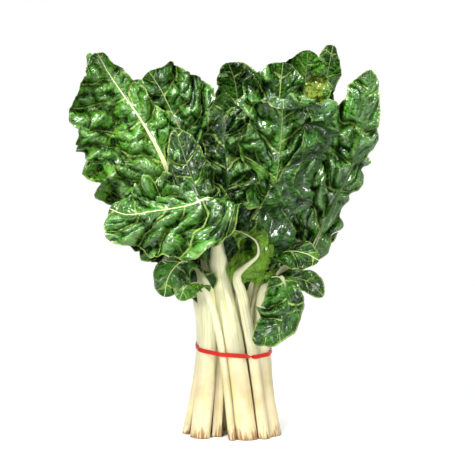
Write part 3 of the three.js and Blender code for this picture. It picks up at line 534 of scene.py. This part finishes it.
def margin_reach(leaf, rib, width, beat, seed):
    """Width of half a blade at each section, with its lobes, scallops and teeth."""
    waves = leaf["ruffle"][1]
    lobes = 1 + LOBE_SIZE * np.sin(TURN * waves * LOBES_PER_WAVE * rib.t + 2 * beat)
    lobes = lobes * (1 + UNEVEN_LOBES * noise(rib.along / 26, 0 * rib.t, seed + 7))
    reach = np.maximum(LEAST_REACH, width * outline(leaf, rib.t) * lobes)
    margin_lane = lane_number(leaf, rib.along, reach, seed)
    scallop = np.abs(np.sin(math.pi * margin_lane)) ** 0.6 - 0.6
    reach = reach + SCALLOP * np.minimum(1, reach / FULL_REACH) * scallop
    teeth = noise(rib.along / 6, 0 * rib.t, seed + 9)
    return reach + NOTCH * np.minimum(1, reach / FULL_REACH) * teeth


def bend_angles(leaf, rib, half, beat, outward):
    """How far half a blade leans up at each point: its opening, curl, ruffle and fold.

    Outward is the share of the way from the midrib to the margin, for each column.
    """
    _, opening, curl, *fold = half
    swing, waves, _ = leaf["ruffle"]
    t = rib.t
    middle = (outward[1:] + outward[:-1]) / 2
    slow_wave = np.sin(TURN * waves * t + beat)
    fast_wave = SECOND_WAVE * np.sin(TURN * SECOND_RATE * waves * t + 3 * beat)
    wave = slow_wave + fast_wave
    ruffle = math.radians(swing) * wave * np.sin(math.pi * np.minimum(1, 1.1 * t + 0.05))
    opened = np.radians(along(opening, t))[:, None]
    curled = np.radians(along(curl, t))[:, None] * middle ** CURL_POWER
    angle = opened + curled + ruffle[:, None] * middle ** RUFFLE_POWER
    if fold:
        folded, foot_crease, tip_crease = fold[0]
        crease_at = (foot_crease + (tip_crease - foot_crease) * t)[:, None]
        angle = angle + math.radians(folded) * smooth((middle - crease_at) / FOLD_SPAN + 0.5)
    return np.concatenate([angle[:, :1], angle], 1)


def crinkle_height(leaf, along_mm, across_mm, outward, lane, size, seed):
    """How far the blade stands out of its smooth shape; size is 1 where the blade is wide, less elsewhere."""
    spacing = leaf.get("veins", VEIN_SPACING)
    swell = np.abs(np.sin(math.pi * lane)) ** 0.5
    broad = noise(along_mm / 52, across_mm / 40, seed + 2)
    middling = noise(along_mm / 22, across_mm / 18, seed + 4)
    puff = bubbles(lane * spacing / PUFF, across_mm / PUFF, seed + 1) ** 0.55
    grain = bubbles(lane * spacing / GRAIN, across_mm / GRAIN, seed + 3) ** 0.6
    bulge = SWELL * swell * (0.9 + 0.5 * middling) + PUFF_SWELL * puff + GRAIN_SWELL * grain
    bulge = bulge - SUNK_SHARE * (SWELL + PUFF_SWELL)
    height = size * smooth(across_mm / SWELL_FROM) * bulge * (1 - 0.7 * outward ** 4)
    height += size * smooth(across_mm / CRUMPLE_FROM) * CRUMPLE * (broad + 0.55 * middling)
    wander = noise(along_mm / 40, across_mm / 60, seed + 5)
    height += size * FRILL * outward ** 2.2 * np.sin(TURN * along_mm / FRILL_LENGTH + 2.6 * wander)
    height += size * CRIMP * outward ** 3 * noise(along_mm / 7, across_mm / 14, seed + 8)
    return height * leaf["rough"]


def there_and_back(grid):
    """A grid from the midrib to the margin, followed by the same in reverse for the other face."""
    return np.concatenate([grid, grid[:, -2::-1]], 1)


def blade_half(leaf, rib, hand, columns, seed):
    """The upper and lower face of half a blade, as rows of points from midrib to margin and back."""
    half = leaf["right"] if hand > 0 else leaf["left"]
    beat = TURN * (leaf["ruffle"][2] + (HALVES_APART if hand > 0 else 0))
    seed = seed + (50 if hand > 0 else 0)
    outward = 1 - (1 - np.linspace(0, 1, columns + 1)) ** MARGIN_CROWDING
    reach = margin_reach(leaf, rib, half[0], beat, seed)
    angle = bend_angles(leaf, rib, half, beat, outward)[..., None]
    out = hand * rib.side[:, None]
    up = rib.normal[:, None]
    heading = np.cos(angle) * out + np.sin(angle) * up
    lift = np.cos(angle) * up - np.sin(angle) * out
    stride = np.diff(outward, prepend=0)[None, :] * reach[:, None]
    root = rib.point + hand * MIDRIB_OVERLAP * rib.half[:, None] * rib.side
    points = root[:, None] + np.cumsum(stride[..., None] * heading, axis=1)

    along_mm = rib.along[:, None]
    across_mm = reach[:, None] * outward
    lane = lane_number(leaf, along_mm, across_mm, seed)
    size = np.minimum(1, reach / FULL_REACH)[:, None]
    height = crinkle_height(leaf, along_mm, across_mm, outward, lane, size, seed)
    hollow = blurred(height, BLUR) - height
    crease = np.clip(0.5 + hollow / CREASE_DEPTH, 0, 1)
    points = points + height[..., None] * lift

    downhill = np.gradient(points, axis=0)
    sideways = np.gradient(points, axis=1)
    skin = -hand * unit(np.cross(downhill, sideways))
    thick = BLADE_THICKNESS * (1 - outward ** 8)[None, :, None]
    under = points - thick * skin
    both_faces = np.concatenate([points, under[:, -2::-1]], 1)
    place = stacked(there_and_back(across_mm), along_mm, float(seed))
    edge = np.broadcast_to(outward, across_mm.shape)
    veins = stacked(there_and_back(lane), there_and_back(crease), there_and_back(edge))
    side = np.concatenate([np.ones(columns + 1), np.zeros(columns)])
    return both_faces, place, veins, np.broadcast_to(side, both_faces.shape[:2])


# ---------------------------------------------------------------- meshes
def grid_faces(rows, columns, first, closed):
    """Four-sided faces of a grid of points that are numbered row by row from first."""
    ids = first + np.arange(rows * columns).reshape(rows, columns)
    if closed:
        ids = np.concatenate([ids, ids[:, :1]], 1)
    corners = [ids[:-1, :-1], ids[:-1, 1:], ids[1:, 1:], ids[1:, :-1]]
    return np.stack(corners, -1).reshape(-1, 4)


def make_object(name, points, faces, materials, face_materials, attributes):
    mesh = bpy.data.meshes.new(name)
    mesh.from_pydata((points * MM).tolist(), [], faces)
    for material in materials:
        mesh.materials.append(material)
    mesh.polygons.foreach_set("material_index", face_materials)
    mesh.polygons.foreach_set("use_smooth", np.ones(len(faces), bool))
    for key, values in attributes.items():
        kind, field = ("FLOAT_VECTOR", "vector") if values.ndim == 2 else ("FLOAT", "value")
        mesh.attributes.new(key, kind, "POINT").data.foreach_set(field, values.ravel())
    mesh.update()
    piece = bpy.data.objects.new(name, mesh)
    bpy.context.scene.collection.objects.link(piece)
    return piece


def yellowing(points, leaf):
    """1 in the middle of the leaf's yellowed patch, 0 away from it."""
    if "yellow" not in leaf:
        return np.zeros(len(points))
    *centre, radius = leaf["yellow"]
    return np.exp(-((points - centre) ** 2).sum(1) / radius ** 2)


def leaf_grid(leaf):
    """Sections of the stalk and the blade, as shares of the leaf's length, and columns of a half-blade.

    A narrow leaf has wider steps, and a short blade has fewer of them.
    """
    foot = leaf["foot"]
    widest = max(leaf["left"][0], leaf["right"][0])
    detail = min(1, 0.45 + 0.55 * widest / 60) * 1
    rows = int(BLADE_ROWS * detail * min(1, 0.4 + 0.6 * (1 - foot) / 0.55))
    columns = int(WING_COLUMNS * detail * max(1, widest / 75))
    crowded = 1 - (1 - np.linspace(0, 1, rows + 1)) ** TIP_CROWDING
    blade_shares = foot + (LAST_SECTION - foot) * crowded
    stalk_shares = np.concatenate([np.linspace(0, foot, STALK_ROWS)[:-1], blade_shares[::3]])
    return stalk_shares, blade_shares, columns


# What the materials read at each point of a leaf:
# place: millimetres across and along, and the leaf's seed.
# veins: on a blade the side vein's number, the crease (0 on a full puff, 1 in a full crease) and the
# share of the way to the margin; on a stalk the share of the blade passed and the height in millimetres.
# side: 1 on the upper face, 0 on the underside.
def build_leaf(name, leaf, seed, materials):
    """One leaf: the tube of its stalk and midrib, its two half-blades and its cut face."""
    stalk_shares, blade_shares, columns = leaf_grid(leaf)
    rib = Rib(leaf, blade_shares)
    blocks = {0: stalk_tube(Rib(leaf, stalk_shares), seed)}      # 0 is the stalk, 1 right and -1 left
    for hand in (1, -1):
        blocks[hand] = blade_half(leaf, rib, hand, columns, seed)
    faces, kinds, first = [], [], 0
    for hand, block in blocks.items():
        rows, width = block[0].shape[:2]
        block_faces = grid_faces(rows, width, first, closed=hand == 0)
        if hand < 1:
            block_faces = block_faces[:, ::-1]
        faces += block_faces.tolist()
        kinds += [abs(hand)] * len(block_faces)
        first += rows * width
    faces += [[first, k, (k + 1) % RING] for k in range(RING)]
    kinds += [0] * RING
    tube = blocks[0][0]
    *vector_grids, side_grids = zip(*blocks.values())
    points, place, veins = (np.concatenate([grid.reshape(-1, 3) for grid in grids]) for grids in vector_grids)
    side = np.concatenate([grid.ravel() for grid in side_grids])
    points = np.vstack([points, tube[0].mean(0)])
    attributes = {
        "place": np.vstack([place, [0, 0, seed]]),
        "veins": np.vstack([veins, [0, 0, 0]]),
        "side": np.append(side, 0.5),
        "tone": np.full(len(points), leaf["tone"]),
        "pale": np.full(len(points), leaf["pale"]),
        "yellow": yellowing(points, leaf),
    }
    piece = make_object(name, points, faces, materials, kinds, attributes)
    return piece, tube


# ---------------------------------------------------------------- the rubber band
def tight_loop(points):
    """The loop that a string pulled tight round the points follows, seen from above."""
    ordered = sorted(map(tuple, points))

    def chain(run):
        kept = []
        for p in run:
            while len(kept) > 1:
                a, b = kept[-2:]
                if (b[0] - a[0]) * (p[1] - a[1]) - (b[1] - a[1]) * (p[0] - a[0]) > 0:
                    break
                kept.pop()
            kept.append(p)
        return kept[:-1]

    return np.array(chain(ordered) + chain(ordered[::-1]))


def band_middle(points):
    """Height of the band's middle at each point's X and Y."""
    return BAND_Z + BAND_SLOPE[0] * points[:, 0] + BAND_SLOPE[1] * points[:, 1]


def band_path(tubes):
    """Even steps along the band, in plan, and the length of band up to each of them."""
    near = []
    for tube in tubes:
        points = tube.reshape(-1, 3)
        level = np.abs(points[:, 2] - band_middle(points)) < BAND_HOLD
        inside = np.hypot(points[:, 0], points[:, 1]) < BUNDLE_RADIUS
        near.append(points[level & inside, :2])
    loop = tight_loop(np.vstack(near))
    closed = np.vstack([loop, loop[:1]])
    run = np.concatenate([[0], np.cumsum(np.linalg.norm(np.diff(closed, axis=0), axis=1))])
    place = np.arange(BAND_ROWS) / BAND_ROWS * run[-1]
    line = np.stack([np.interp(place, run, closed[:, k]) for k in range(2)], -1)
    for _ in range(3):
        line = (np.roll(line, 1, 0) + 2 * line + np.roll(line, -1, 0)) / 4
    return line, place


def rounded(wave):
    """A sine or cosine made squarer, for the section of the band."""
    return np.sign(wave) * np.abs(wave) ** BAND_SQUARENESS


def build_band(tubes, material):
    """The band lies on the outer stalks and is turned half over at one place."""
    line, place = band_path(tubes)
    ahead = unit(np.roll(line, -1, 0) - np.roll(line, 1, 0))
    out = np.stack([ahead[:, 1], -ahead[:, 0], 0 * place], -1)
    middle = band_middle(line) + BAND_WANDER * noise(place / 28, 0 * place, 5)
    twist_at = int(np.argmin(np.hypot(line[:, 0] - TWIST_NEAR[0], line[:, 1] - TWIST_NEAR[1])))
    offset = (np.arange(BAND_ROWS) - twist_at + BAND_ROWS // 2) % BAND_ROWS - BAND_ROWS // 2
    turn = math.pi * smooth(offset / TWIST_ROWS + 0.5)[:, None]
    corner = np.arange(BAND_CORNERS) / BAND_CORNERS * TURN
    wide = rounded(np.cos(corner)) * BAND_THICKNESS / 2
    tall = rounded(np.sin(corner)) * BAND_HEIGHT / 2
    far = np.cos(turn) * wide + np.sin(turn) * tall
    high = -np.sin(turn) * wide + np.cos(turn) * tall
    gap = BAND_THICKNESS / 2 + BAND_GAP + TWIST_BULGE * np.exp(-(offset / TWIST_SPREAD) ** 2)
    base = np.concatenate([line, middle[:, None]], 1)[:, None]
    points = base + (far + gap[:, None])[..., None] * out[:, None]
    points[..., 2] += high
    faces = grid_faces(BAND_ROWS + 1, BAND_CORNERS, 0, True) % (BAND_ROWS * BAND_CORNERS)
    stretch = stacked(corner[None, :], place[:, None], 0.0).reshape(-1, 3)
    return make_object("rubber_band", points.reshape(-1, 3), faces.tolist(), [material],
                       [0] * len(faces), {"place": stretch})


# ---------------------------------------------------------------- shader nodes
def node(tree, kind, inputs=None, **settings):
    """A new shader node; inputs that are sockets are linked and others are set."""
    made = tree.nodes.new(kind)
    for key, value in settings.items():
        setattr(made, key, value)
    for key, value in (inputs or {}).items():
        if isinstance(value, bpy.types.NodeSocket):
            tree.links.new(value, made.inputs[key])
        else:
            made.inputs[key].default_value = value
    return made


def maths(tree, operation, a, b=0.0):
    return node(tree, "ShaderNodeMath", {0: a, 1: b}, operation=operation).outputs[0]


def times(tree, a, b):
    return maths(tree, "MULTIPLY", a, b)


def level(tree, base, mask, gain):
    """base where the mask is 0, and base + gain where it is 1."""
    return maths(tree, "ADD", base, times(tree, mask, gain))


def ramp(tree, value, low, high):
    """0 at low and 1 at high, smoothly, whichever of the two is greater."""
    inputs = {"Value": value, "From Min": low, "From Max": high}
    return node(tree, "ShaderNodeMapRange", inputs, interpolation_type="SMOOTHSTEP").outputs["Result"]


def painted(tree, below, above, mask):
    """The colour above laid over the one below where the mask is 1."""
    inputs = {"Factor": mask, 6: below, 7: above}
    return node(tree, "ShaderNodeMix", inputs, data_type="RGBA").outputs[2]


def joined(tree, x, y, z):
    return node(tree, "ShaderNodeCombineXYZ", {"X": x, "Y": y, "Z": z}).outputs[0]


def split(tree, vector):
    return node(tree, "ShaderNodeSeparateXYZ", {"Vector": vector}).outputs


def patches(tree, vector, scale, detail, roughness=0.5):
    """Soft noise about 0.5, with scale patches to a metre of the object."""
    inputs = {"Vector": vector, "Scale": scale, "Detail": detail, "Roughness": roughness}
    return node(tree, "ShaderNodeTexNoise", inputs).outputs["Fac"]


def cell_walls(tree, vector):
    """Distance to the walls of irregular cells about one unit across."""
    inputs = {"Vector": vector, "Scale": 1.0}
    return node(tree, "ShaderNodeTexVoronoi", inputs, feature="DISTANCE_TO_EDGE").outputs["Distance"]


def attribute(tree, name, output="Fac"):
    return node(tree, "ShaderNodeAttribute", attribute_name=name).outputs[output]


def object_place(tree):
    return node(tree, "ShaderNodeTexCoord").outputs["Object"]


def new_material(name):
    material = bpy.data.materials.new(name)
    material.use_nodes = True
    tree = material.node_tree
    return material, tree, tree.nodes["Principled BSDF"]


def bumped(tree, surface, height, strength, distance):
    bump = node(tree, "ShaderNodeBump", {"Strength": strength, "Distance": distance, "Height": height})
    tree.links.new(bump.outputs["Normal"], surface.inputs["Normal"])


# ---------------------------------------------------------------- node groups
def new_group(name, inputs, outputs):
    tree = bpy.data.node_groups.new(name, "ShaderNodeTree")
    for key, kind in inputs:
        tree.interface.new_socket(key, in_out="INPUT", socket_type=kind)
    for key, kind in outputs:
        tree.interface.new_socket(key, in_out="OUTPUT", socket_type=kind)
    return tree, tree.nodes.new("NodeGroupInput").outputs, tree.nodes.new("NodeGroupOutput").inputs


def make_line_group():
    """Thin lines where a coordinate is a whole number."""
    tree, given, result = new_group(
        "vein_lines",
        [("Coordinate", "NodeSocketFloat"), ("Spacing", "NodeSocketFloat"), ("Width", "NodeSocketFloat")],
        [("Mask", "NodeSocketFloat")])
    part = maths(tree, "FRACT", maths(tree, "ADD", given["Coordinate"], 0.5))
    away = maths(tree, "ABSOLUTE", maths(tree, "SUBTRACT", part, 0.5))
    distance = times(tree, away, given["Spacing"])
    core = times(tree, given["Width"], 0.35)
    soft = ramp(tree, distance, core, given["Width"])
    tree.links.new(maths(tree, "SUBTRACT", 1.0, soft), result["Mask"])
    return tree


def make_mottle_group():
    """Two colours mixed in soft patches."""
    tree, given, result = new_group(
        "mottled_colour",
        [("Vector", "NodeSocketVector"), ("Dark", "NodeSocketColor"), ("Light", "NodeSocketColor"),
         ("Scale", "NodeSocketFloat"), ("Shift", "NodeSocketFloat")],
        [("Color", "NodeSocketColor")])
    soft = patches(tree, given["Vector"], given["Scale"], 4.0)
    share = ramp(tree, maths(tree, "ADD", soft, given["Shift"]), 0.3, 0.75)
    tree.links.new(painted(tree, given["Dark"], given["Light"], share), result["Color"])
    return tree


def place_group(tree, group, inputs):
    return node(tree, "ShaderNodeGroup", inputs, node_tree=group).outputs[0]


def mottled(tree, group, colours, scale, shift):
    dark, light = colours
    inputs = {"Vector": object_place(tree), "Dark": dark, "Light": light, "Scale": scale, "Shift": shift}
    return place_group(tree, group, inputs)


# ---------------------------------------------------------------- the blades
def upper_colour(tree, green, crease, masks, yellowed):
    """Painted light on the puffs, painted shade in the creases, a yellowed patch, and the fine, forked and
    side veins.
    """
    # painted light: paler where the blade puffs out
    puff = times(tree, ramp(tree, crease, 0.45, 0.0), 0.75)
    colour = painted(tree, green, PUFF_PAINTED_LIGHT, puff)
    # painted shade: darker down in the creases
    crease_shade = times(tree, ramp(tree, crease, 0.45, 0.74), 0.95)
    colour = painted(tree, colour, CREASE_PAINTED_SHADE, crease_shade)
    colour = painted(tree, colour, YELLOWED, yellowed)
    colour = painted(tree, colour, NET_GREEN, times(tree, masks["net"], 0.16))
    colour = painted(tree, colour, FORK_GREEN, times(tree, masks["fork"], 0.30))
    return painted(tree, colour, VEIN_GREEN, times(tree, masks["vein"], masks["vein strength"]))


def under_colour(tree, green, crease, masks):
    """The underside: painted shade in the hollows, under what is a puff above, painted light on the ridges,
    and paler veins.
    """
    # painted shade: darker in the hollows of the underside
    hollow = times(tree, ramp(tree, crease, 0.50, 0.10), 0.85)
    colour = painted(tree, green, UNDER_HOLLOW_PAINTED_SHADE, hollow)
    # painted light: paler on the ridges of the underside
    ridge = times(tree, ramp(tree, crease, 0.60, 0.90), 0.4)
    colour = painted(tree, colour, UNDER_RIDGE_PAINTED_LIGHT, ridge)
    ribs = maths(tree, "MAXIMUM", masks["vein"], times(tree, masks["net"], 0.25))
    return painted(tree, colour, UNDER_VEIN_GREEN, times(tree, ribs, 0.6))


def coat_weight(tree, where, crease, upper, tone):
    """The wax coat: full on open upper faces, dull in patches, in creases and on low or dark leaves."""
    coat = level(tree, 1.0, ramp(tree, crease, 0.40, 0.75), -0.93)
    dull = patches(tree, where, 75.0, 2.0)
    height = split(tree, where)["Z"]
    for share in (level(tree, 0.65, upper, 0.25),
                  level(tree, 0.5, ramp(tree, dull, 0.40, 0.54), 0.5),
                  level(tree, 0.5, ramp(tree, height, 0.20, 0.27), 0.5),
                  level(tree, 0.5, ramp(tree, tone, 0.15, 0.55), 0.5)):
        coat = times(tree, coat, share)
    return coat


def make_blade_material(lines, mottle):
    material, tree, surface = new_material("chard_blade")
    where = object_place(tree)
    across, along_mm, seed = split(tree, attribute(tree, "place", "Vector"))
    lane, crease, edge = split(tree, attribute(tree, "veins", "Vector"))
    upper = attribute(tree, "side")
    tone = attribute(tree, "tone")
    wrinkles = patches(tree, where, 150.0, 3.0)

    net_place = joined(tree, times(tree, along_mm, 0.15), times(tree, across, 0.15), seed)
    net = cell_walls(tree, net_place)
    fork_place = joined(tree, times(tree, lane, 1.9), times(tree, across, 0.055), seed)
    vein_width = level(tree, 1.9, edge, -1.2)
    masks = {
        "net": ramp(tree, net, 0.10, 0.02),
        "fork": ramp(tree, cell_walls(tree, fork_place), 0.040, 0.010),
        "vein": place_group(tree, lines, {"Coordinate": lane, "Spacing": VEIN_SPACING, "Width": vein_width}),
        "vein strength": level(tree, level(tree, 0.8, attribute(tree, "pale"), 0.2), edge, -0.25),
    }
    faded = times(tree, attribute(tree, "yellow"), wrinkles)
    yellowed = times(tree, ramp(tree, faded, 0.12, 0.5), 0.85)

    shift = times(tree, maths(tree, "SUBTRACT", tone, 0.5), 0.7)
    above = upper_colour(tree, mottled(tree, mottle, UPPER_GREENS, 40.0, shift), crease, masks, yellowed)
    below = under_colour(tree, mottled(tree, mottle, UNDER_GREENS, 60.0, shift), crease, masks)
    colour = painted(tree, below, above, upper)

    share_left = maths(tree, "DIVIDE", maths(tree, "SUBTRACT", 1.0, edge), maths(tree, "MAXIMUM", edge, 0.05))
    to_margin_mm = times(tree, across, share_left)
    stretches = ramp(tree, patches(tree, where, 32.0, 2.0), 0.42, 0.62)
    margin = times(tree, ramp(tree, to_margin_mm, 2.4, 0.8), level(tree, 0.3, stretches, 0.55))
    colour = painted(tree, colour, MARGIN_GREEN, margin)
    youth = level(tree, tone, maths(tree, "SUBTRACT", wrinkles, 0.5), 0.6)
    colour = painted(tree, colour, YOUNG_GREEN, times(tree, ramp(tree, youth, 0.7, 1.0), 0.85))
    tree.links.new(colour, surface.inputs["Base Color"])

    fine_grain = patches(tree, where, 520.0, 3.0)
    roughness = level(tree, level(tree, 0.36, upper, -0.14), fine_grain, 0.14)
    tree.links.new(roughness, surface.inputs["Roughness"])
    tree.links.new(coat_weight(tree, where, crease, upper, tone), surface.inputs["Coat Weight"])
    surface.inputs["Coat Roughness"].default_value = 0.17
    surface.inputs["Coat IOR"].default_value = 1.72
    surface.inputs["Specular IOR Level"].default_value = 0.08

    pillows = times(tree, ramp(tree, net, 0.0, 0.35), 1.2)
    sunk_veins = times(tree, masks["vein"], maths(tree, "SUBTRACT", 0.6, upper))
    height = maths(tree, "ADD", level(tree, pillows, wrinkles, 2.8), sunk_veins)
    bumped(tree, surface, height, 0.9, 0.0020)
    return material


# ---------------------------------------------------------------- the stalks
def make_stalk_material(mottle):
    material, tree, surface = new_material("chard_stalk")
    where = object_place(tree)
    across, along_mm, seed = split(tree, attribute(tree, "place", "Vector"))
    leaf_share, height_mm, _ = split(tree, attribute(tree, "veins", "Vector"))
    pale = attribute(tree, "pale")

    cream = mottled(tree, mottle, CREAMS, 38.0, 0.05)
    # higher up the stalk a paler cream: partly its own colour, partly painted light where the leaves shade it
    colour = painted(tree, cream, LEAFWARD_CREAM_AND_LIGHT, ramp(tree, height_mm, 50.0, 140.0))
    fibre_place = joined(tree, times(tree, across, 0.42), times(tree, along_mm, 0.010), seed)
    fibres = patches(tree, fibre_place, 1.0, 5.0, roughness=0.6)
    colour = painted(tree, colour, FIBRE_GREEN, times(tree, ramp(tree, fibres, 0.50, 0.66), 0.6))
    dark_rib, pale_rib = MIDRIB_GREENS
    rib_green = painted(tree, dark_rib, pale_rib, ramp(tree, pale, 0.0, 0.5))
    greener = times(tree, ramp(tree, leaf_share, 0.02, 0.35), level(tree, 1.0, pale, -0.75))
    colour = painted(tree, colour, rib_green, greener)

    low = ramp(tree, height_mm, 32.0, 0.0)
    rim = times(tree, ramp(tree, height_mm, 2.2, 0.3), 0.6)
    dry_place = joined(tree, times(tree, across, 0.35), times(tree, height_mm, 0.05), seed)
    dry_patches = patches(tree, dry_place, 1.0, 4.0)
    dry = ramp(tree, level(tree, dry_patches, low, 0.28), 0.65, 0.86)
    colour = painted(tree, colour, DRIED_BROWN, maths(tree, "MAXIMUM", times(tree, dry, low), rim))
    specks = node(tree, "ShaderNodeTexVoronoi", {"Vector": where, "Scale": 120.0}).outputs["Distance"]
    spots = times(tree, ramp(tree, specks, 0.13, 0.05), ramp(tree, dry_patches, 0.5, 0.62))
    colour = painted(tree, colour, SPECK_BROWN, times(tree, spots, 0.6))

    tree.links.new(colour, surface.inputs["Base Color"])
    surface.inputs["Roughness"].default_value = 0.46
    surface.inputs["Specular IOR Level"].default_value = 0.35
    bumped(tree, surface, fibres, 0.5, 0.0008)
    return material


# ---------------------------------------------------------------- the band and the floor
def make_band_material():
    material, tree, surface = new_material("band_rubber")
    around, along_mm, _ = split(tree, attribute(tree, "place", "Vector"))
    streak_place = joined(tree, times(tree, around, 3.0), times(tree, along_mm, 0.12), 0.0)
    streaks = patches(tree, streak_place, 1.0, 4.0)
    dark, light = BAND_REDS
    tree.links.new(painted(tree, dark, light, streaks), surface.inputs["Base Color"])
    surface.inputs["Roughness"].default_value = 0.45
    surface.inputs["Specular IOR Level"].default_value = 0.25
    bumped(tree, surface, streaks, 0.4, 0.0003)
    return material


def make_floor_material():
    """White near the bunch, so that its shadow shows, and clear farther out."""
    material, tree, surface = new_material("white_floor")
    surface.inputs["Base Color"].default_value = FLOOR_WHITE
    surface.inputs["Roughness"].default_value = 0.9
    distance = node(tree, "ShaderNodeVectorMath", {0: object_place(tree)}, operation="LENGTH")
    clear = node(tree, "ShaderNodeBsdfTransparent")
    fade = ramp(tree, distance.outputs["Value"], *SHADOW_FADE)
    mixed = node(tree, "ShaderNodeMixShader", {0: fade, 1: surface.outputs[0], 2: clear.outputs[0]})
    tree.links.new(mixed.outputs[0], tree.nodes["Material Output"].inputs["Surface"])
    return material


# ---------------------------------------------------------------- the bunch
line_group = make_line_group()
mottle_group = make_mottle_group()
leaf_materials = [make_stalk_material(mottle_group), make_blade_material(line_group, mottle_group)]

tubes = []
for number, (name, leaf) in enumerate(LEAVES.items()):
    piece, tube = build_leaf(name, leaf, 3 * number + 1, leaf_materials)
    tubes.append(tube)
    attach(piece, "root")
    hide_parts(name)

band = build_band(tubes, make_band_material())
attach(band, "root")
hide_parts("rubber_band")

# ---------------------------------------------------------------- floor, light and camera
floor_mesh = bpy.data.meshes.new("floor")
floor_mesh.from_pydata([(-1, -1, 0), (1, -1, 0), (1, 1, 0), (-1, 1, 0)], [], [(0, 1, 2, 3)])
floor_mesh.materials.append(make_floor_material())
floor = bpy.data.objects.new("floor", floor_mesh)
bpy.context.scene.collection.objects.link(floor)

# The camera, and rays that bounce off gloss or pass through, see white; the object gets a faint fill.
world = bpy.data.worlds.new("studio")
bpy.context.scene.world = world
world.use_nodes = True
sky = world.node_tree
rays = node(sky, "ShaderNodeLightPath")
direct = maths(sky, "MAXIMUM", rays.outputs["Is Camera Ray"], rays.outputs["Is Glossy Ray"])
direct = maths(sky, "MAXIMUM", direct, rays.outputs["Is Transmission Ray"])
backdrop = node(sky, "ShaderNodeBackground", {"Color": PLAIN_WHITE, "Strength": 1.0})
fill = node(sky, "ShaderNodeBackground", {"Color": PLAIN_WHITE, "Strength": SKY_FILL})
shown = node(sky, "ShaderNodeMixShader", {0: direct, 1: fill.outputs[0], 2: backdrop.outputs[0]})
sky.links.new(shown.outputs[0], sky.nodes["World Output"].inputs["Surface"])


def aimed(place, target):
    """The turn that points a lamp or camera from one place to another."""
    return (Vector(target) - Vector(place)).to_track_quat("-Z", "Y").to_euler()


for name, (place, aim_height, size, power) in LAMPS.items():
    lamp = bpy.data.lights.new(name, "AREA")
    lamp.shape = "RECTANGLE"
    lamp.size, lamp.size_y = size
    lamp.energy = power
    holder = bpy.data.objects.new(name, lamp)
    holder.location = place
    holder.rotation_euler = aimed(place, (0, 0, aim_height))
    bpy.context.scene.collection.objects.link(holder)

backward = Vector((0, -math.cos(VIEW_ELEVATION), math.sin(VIEW_ELEVATION)))
camera_data = bpy.data.cameras.new("camera")
camera_data.sensor_width = SENSOR_WIDTH
camera_data.lens = SENSOR_WIDTH * VIEW_DISTANCE / VIEW_WIDTH
camera = bpy.data.objects.new("camera", camera_data)
bpy.context.scene.collection.objects.link(camera)
camera.location = VIEW_TARGET + VIEW_DISTANCE * backward
camera.rotation_euler = aimed(camera.location, VIEW_TARGET)
bpy.context.scene.camera = camera
bpy.context.scene.view_settings.view_transform = "Standard"
